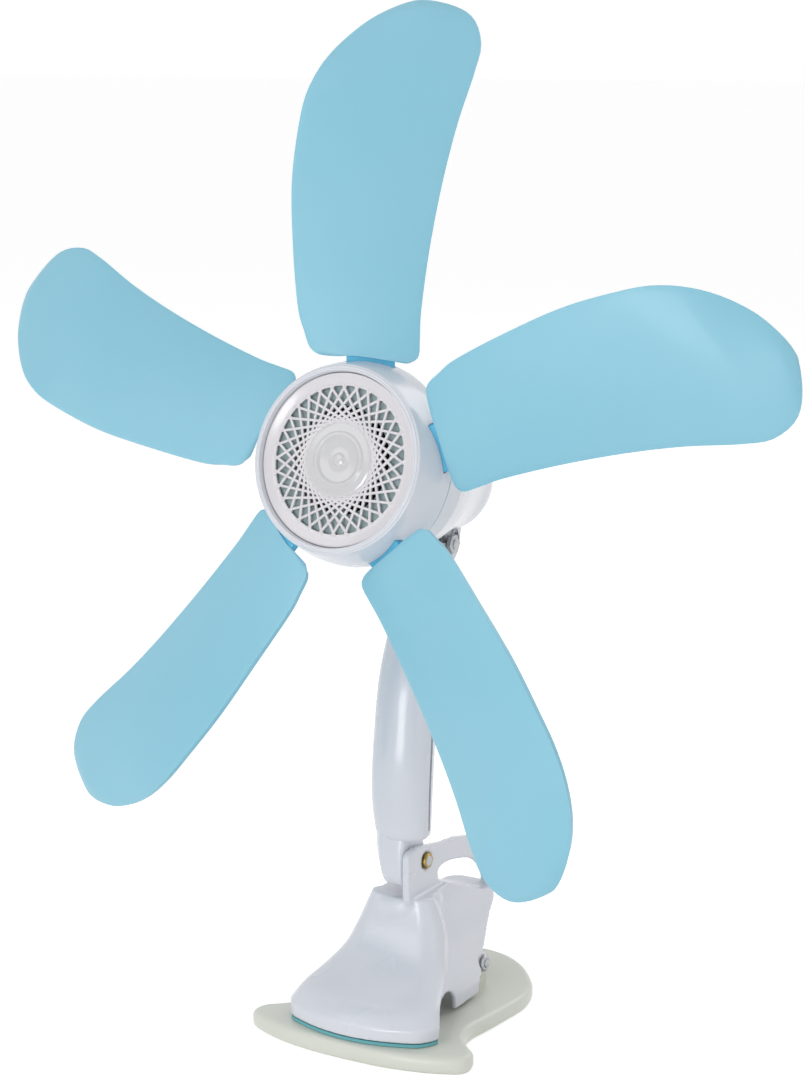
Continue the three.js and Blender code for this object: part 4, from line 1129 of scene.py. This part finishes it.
@dataclass
class LowerJaw:
    """The foot: a waisted plate with a rounded rim, hollow below, and two ears for the pin."""

    length: float = 138.0
    thick: float = 8.0
    half_outline: tuple[Pair, ...] = (
        (0, 0), (20, 0.8), (38, 4.4), (50, 9), (55.5, 12.5), (57, 17), (55.5, 22.5), (50, 27.5), (45, 33), (42, 41),
        (41, 50), (42.5, 62), (44.2, 78), (45, 93), (42, 106), (35, 117), (25, 128), (13, 135.5), (0, 138))
    pin: tuple[float, float] = (89.0, 21.0)
    ear_half: float = 21.0
    ear_thick: float = 2.8

    def outline(self) -> list[Vector]:
        """The plan outline as an even closed loop."""
        half = [list(p) for p in self.half_outline]
        mirror = [[-x, y] for x, y in half[-2::-1]]
        pts = even_points(half + mirror, 181)[:-1]
        return [Vector((x, y)) for x, y in pts]

    def ring(self, inset: float, z: float) -> Ring:
        """The outline set in by a distance, at a height."""
        pts = self.outline()
        n = len(pts)
        out = []
        for i, p in enumerate(pts):
            d = (pts[(i + 1) % n] - pts[i - 1]).normalized()
            normal = Vector((-d.y, d.x))
            q = p + normal * inset
            out.append(Vector((q.x, q.y, z)))
        return out

    def plate(self, bm: bmesh.types.BMesh) -> None:
        """The plate with its rounded rim and recessed underside."""
        top = self.thick
        loft(bm, [self.ring(i, z) for i, z in (
            (3.2, top), (2.0, top - 0.15), (1.1, top - 0.6), (0.4, top - 1.3), (0.0, top - 2.4), (0.0, 2.4),
            (0.3, 1.3), (0.8, 0.5), (1.4, 0.0), (4.0, 0.0), (4.0, top - 3))])

    def ribs(self, bm: bmesh.types.BMesh) -> None:
        """The two ribs under the plate."""
        block(bm, (12.0, self.length - 9, 6.0), Matrix.Translation((0, self.length / 2, 3.0)))
        block(bm, (78.0, 14.0, 6.0), Matrix.Translation((0, 67.0, 3.0)))

    def ears(self, bm: bmesh.types.BMesh) -> None:
        """The ears that hold the pin."""
        y, z = self.pin
        low = self.thick - 1
        outline = [(y - 11, low), (y - 6, z - 1), (y - 4, z + 3.4), (y, z + 5), (y + 4, z + 3.4), (y + 6, z - 1),
                   (y + 11, low)]
        for side in (-1, 1):
            x0 = self.ear_half - self.ear_thick if side > 0 else -self.ear_half
            extrude_outline(bm, rounded(outline, 3.0), x0, x0 + self.ear_thick, across)

    def build(self, dresser: Dresser) -> None:
        """Builds and dresses the foot."""
        foot = make("jaw_lower_plate", self.plate)
        carve(foot, Carve.JOIN, self.ribs)
        carve(foot, Carve.JOIN, self.ears)
        carve(foot, Carve.CUT, lambda bm: cross_rod(bm, -30, 30, *self.pin, 2.1, 32))
        place(foot, SIDE, 40)
        dresser.dress(foot, "cream", Body.BASE, ["lower_jaw"])


@dataclass
class Fixings:
    """The pin with its caps, the torsion spring, and the two hinge bolts with their nuts."""

    pin: tuple[float, float] = (89.0, 21.0)
    pin_half: float = 26.7
    wire: float = 1.8
    coil_r: float = 6.0
    turns: float = 8.5
    pitch: float = 3.95
    leg_x: float = 7.2               # the upper leg bears on the handle's plate
    foot_bolt: tuple[float, float] = (62.0, 77.0)
    head_bolt: tuple[float, float] = (86.0, 222.0)
    ear_half: float = 7.1

    def pin_rod(self, bm: bmesh.types.BMesh) -> None:
        """The pin."""
        cross_rod(bm, -self.pin_half, self.pin_half, *self.pin, 2.0, 32, 0.4)

    def cap(self, bm: bmesh.types.BMesh, side: int) -> None:
        """A push-on cap on the pin's end."""
        y, z = self.pin
        profile = [(2.1, -0.9), (3.6, -0.9), (4.0, -0.4), (4.0, 0.4), (3.4, 0.9), (2.1, 0.9)]
        turn_profile(bm, rounded(profile, 0.25), 32)
        bmesh.ops.rotate(bm, verts=bm.verts, cent=(0, 0, 0), matrix=Matrix.Rotation(pi / 2, 3, "Y"))
        bmesh.ops.translate(bm, verts=bm.verts, vec=(side * (self.pin_half - 1.4), y, z))

    def spring(self, bm: bmesh.types.BMesh) -> None:
        """The spring: a round wire wound about the pin, with a straight leg at each end."""
        y, z = self.pin
        half = self.turns * self.pitch / 2
        steps = int(self.turns * 24)
        points = [Vector((-half + self.pitch * k / 24, y - self.coil_r * sin(2 * pi * k / 24),
                          z - self.coil_r * cos(2 * pi * k / 24))) for k in range(steps + 1)]
        first, last = points[0], points[-1]
        low = [Vector((first.x, first.y + 26, 9.2)), Vector((first.x, first.y + 9, first.z - 1.2)),
               Vector((first.x, first.y + 3, first.z - 0.3))]
        high = [Vector((last.x - 0.2, last.y + 2.5, last.z + 0.5)), Vector((last.x - 0.5, last.y + 5, last.z + 2)),
                Vector((self.leg_x, last.y + 24, self.roof()))]
        path = low + points + high
        rings = []
        for k, p in enumerate(path):
            d = (path[min(len(path) - 1, k + 1)] - path[max(0, k - 1)]).normalized()
            a = (Vector((1, 0, 0)) - d * d.x).normalized()
            b = d.cross(a)
            rings.append([p + (a * cos(2 * pi * i / 12) + b * sin(2 * pi * i / 12)) * self.wire / 2
                          for i in range(12)])
        loft(bm, rings)

    def roof(self) -> float:
        """The height of the spring's upper end, just under the lever."""
        return 44.0 - GAP - self.wire / 2

    def bolt(self, bm: bmesh.types.BMesh, at: Pair, radius: float, x0: float, x1: float) -> None:
        """A bolt along X with a domed head that has a shallow round dimple."""
        y, z = at
        cross_rod(bm, x0 + 1.0, x1, y, z, radius, 32, 0.3)
        profile = [(0.0, -0.3), (radius * 0.5, 0.0), (radius * 1.1, 0.3), (radius * 1.6, 1.0), (radius * 1.75, 2.4),
                   (0.0, 2.4)]
        head = bmesh.new()
        turn_profile(head, rounded([(0, 0.25), *profile[1:]], 0.4, closed=False), 48, closed=False)
        bmesh.ops.rotate(head, verts=head.verts, cent=(0, 0, 0), matrix=Matrix.Rotation(pi / 2, 3, "Y"))
        bmesh.ops.translate(head, verts=head.verts, vec=(x0, y, z))
        spare = bpy.data.meshes.new("head")
        head.to_mesh(spare)
        head.free()
        bm.from_mesh(spare)
        bpy.data.meshes.remove(spare)

    def nut(self, bm: bmesh.types.BMesh, at: Pair, radius: float, hole: float, x0: float, x1: float) -> None:
        """A six-sided nut with its corners turned down."""
        y, z = at
        rings = []
        for shrink, x in ((0.9, x0), (1.0, x0 + 0.4), (1.0, x1 - 0.4), (0.9, x1)):
            rings.append([Vector((x, y + radius * shrink * cos(pi * k / 3), z + radius * shrink * sin(pi * k / 3)))
                          for k in range(6)])
        rings.append([Vector((x1, y + hole * cos(pi * k / 3), z + hole * sin(pi * k / 3))) for k in range(6)])
        rings.append([Vector((x0, y + hole * cos(pi * k / 3), z + hole * sin(pi * k / 3))) for k in range(6)])
        rings.append(rings[0])
        loft(bm, rings[:5])

    def build(self, dresser: Dresser) -> None:
        """Builds and dresses the fixings."""
        pieces = (
            ("hinge_pin", self.pin_rod, "steel", Body.BASE, "jaw_pin"),
            ("hinge_cap_left", lambda bm: self.cap(bm, -1), "steel", Body.BASE, "pin_cap_left"),
            ("hinge_cap_right", lambda bm: self.cap(bm, 1), "steel", Body.BASE, "pin_cap_right"),
            ("torsion_spring", self.spring, "steel", Body.BASE, "jaw_spring"),
            ("foot_bolt", lambda bm: self.bolt(bm, self.foot_bolt, 2.5, -12.7, 10.4), "steel", Body.CLIP, "arm_bolt"),
            ("foot_nut", lambda bm: self.nut(bm, self.foot_bolt, 4.0, 2.6, 8.1, 10.2), "brass", Body.CLIP, "arm_nut"),
            ("neck_bolt", lambda bm: self.bolt(bm, self.head_bolt, 2.5, -9.8, 10.7), "steel", Body.ARM, "head_bolt"),
            ("neck_nut", lambda bm: self.nut(bm, self.head_bolt, 4.75, 2.6, 7.4, 10.1), "steel", Body.ARM,
             "head_nut"),
        )
        for name, build, finish, body, node in pieces:
            piece = make(name, build)
            place(piece, SIDE, 45)
            dresser.dress(piece, finish, body, [node])


# ---------------------------------------------------------------- studio
@dataclass
class Studio:
    """A pale floor under plain soft light, seen from the photograph's place."""

    eye: tuple[float, float, float] = (0.5418, -0.9449, 0.4457)
    right: tuple[float, float, float] = (0.8642, 0.5032, 0.0)
    up: tuple[float, float, float] = (-0.0995, 0.1708, 0.9803)
    back: tuple[float, float, float] = (0.4933, -0.8471, 0.1977)
    lens: float = 81.46
    sensor: float = 36.0
    floor_size: float = 30.0
    sky: float = 0.58
    lift: float = 0.42               # the paper's own light, so that it reads white behind its shadow

    def camera(self) -> None:
        """The camera."""
        data = bpy.data.cameras.new("camera")
        data.lens, data.sensor_width, data.sensor_fit = self.lens, self.sensor, "AUTO"
        data.clip_start, data.clip_end = 0.05, 100.0
        obj = bpy.data.objects.new("camera", data)
        turn = Matrix((self.right, self.up, self.back)).transposed().to_4x4()
        obj.matrix_world = Matrix.Translation(self.eye) @ turn
        bpy.context.scene.collection.objects.link(obj)
        bpy.context.scene.camera = obj

    def floor(self) -> None:
        """The floor."""
        obj = make("floor", lambda bm: bmesh.ops.create_grid(bm, x_segments=1, y_segments=1, size=self.floor_size))
        mat, tree = blank_material("matt_white_paper")
        spot = add_node(tree, "ShaderNodeTexCoord").outputs["Object"]
        fibre = add_node(tree, "ShaderNodeTexNoise", inputs={"Vector": spot, "Scale": 400.0, "Detail": 3.0})
        tint = add_node(tree, "ShaderNodeMix", {"data_type": "RGBA"}, {
            0: fibre.outputs["Fac"], 6: linear("#FAFAFA"), 7: linear("#F6F6F6")})
        shader = add_node(tree, "ShaderNodeBsdfPrincipled", inputs={
            "Base Color": tint.outputs[2], "Roughness": 0.9, "Specular IOR Level": 0.1,
            "Emission Color": (1.0, 1.0, 1.0, 1.0)})
        tree.links.new(self.seen(tree, 0.0, self.lift), shader.inputs["Emission Strength"])
        show(tree, shader)
        obj.data.materials.append(mat)

    @staticmethod
    def seen(tree: bpy.types.NodeTree, unseen: float, level: float) -> bpy.types.NodeSocket:
        """One level where a surface is looked at, straight, mirrored or through glass, and another for its light.

        Args:
            tree: the node tree.
            unseen: the level for the light that it gives.
            level: the level where it is looked at.

        Returns:
            The socket of that level.
        """
        path = add_node(tree, "ShaderNodeLightPath")
        mirrored = add_node(tree, "ShaderNodeMath", {"operation": "MAXIMUM"}, {
            0: path.outputs["Is Glossy Ray"], 1: path.outputs["Is Transmission Ray"]})
        either = add_node(tree, "ShaderNodeMath", {"operation": "MAXIMUM"}, {
            0: path.outputs["Is Camera Ray"], 1: mirrored.outputs["Value"]})
        return add_node(tree, "ShaderNodeMapRange", inputs={
            "Value": either.outputs["Value"], "To Min": unseen, "To Max": level}).outputs["Result"]

    def lamp(self, name: str, at: Sequence[float], size: float, power: float) -> None:
        """A soft square lamp aimed at the fan."""
        data = bpy.data.lights.new(name, "AREA")
        data.size, data.energy = size, power
        obj = bpy.data.objects.new(name, data)
        aim = Vector((0.0, 0.0, 0.22)) - Vector(at)
        obj.matrix_world = Matrix.Translation(at) @ aim.to_track_quat("-Z", "Y").to_matrix().to_4x4()
        bpy.context.scene.collection.objects.link(obj)

    def world(self) -> None:
        """Even light from all round, white where it is seen."""
        world = bpy.data.worlds.new("soft_box")
        world.use_nodes = True
        tree = world.node_tree
        tree.nodes.clear()
        light = add_node(tree, "ShaderNodeBackground", inputs={
            "Color": (1.0, 1.0, 1.0, 1.0), "Strength": self.seen(tree, self.sky, 1.0)})
        out = add_node(tree, "ShaderNodeOutputWorld")
        tree.links.new(light.outputs["Background"], out.inputs["Surface"])
        bpy.context.scene.world = world

    def build(self) -> None:
        """Sets the whole studio."""
        self.camera()
        self.floor()
        self.world()
        self.lamp("key", (-0.9, -1.6, 1.5), 1.5, 8.0)
        self.lamp("fill", (1.5, -0.8, 0.9), 1.2, 2.0)
        self.lamp("low", (0.1, -1.7, 0.06), 0.7, 10.0)
        self.lamp("rim", (0.6, 1.4, 1.3), 1.0, 6.0)
        bpy.context.scene.view_settings.view_transform = "Standard"


def main() -> None:
    """Builds the fan piece by piece."""
    logging.basicConfig(level=logging.INFO, format="%(name)s: %(message)s")
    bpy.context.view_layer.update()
    dresser = Dresser(Palette())
    for part in (Blades(), Hub(), Housing(), Arm(), UpperJaw(), LowerJaw(), Fixings()):
        part.build(dresser)
    Studio().build()


if __name__ == "__main__":
    main()
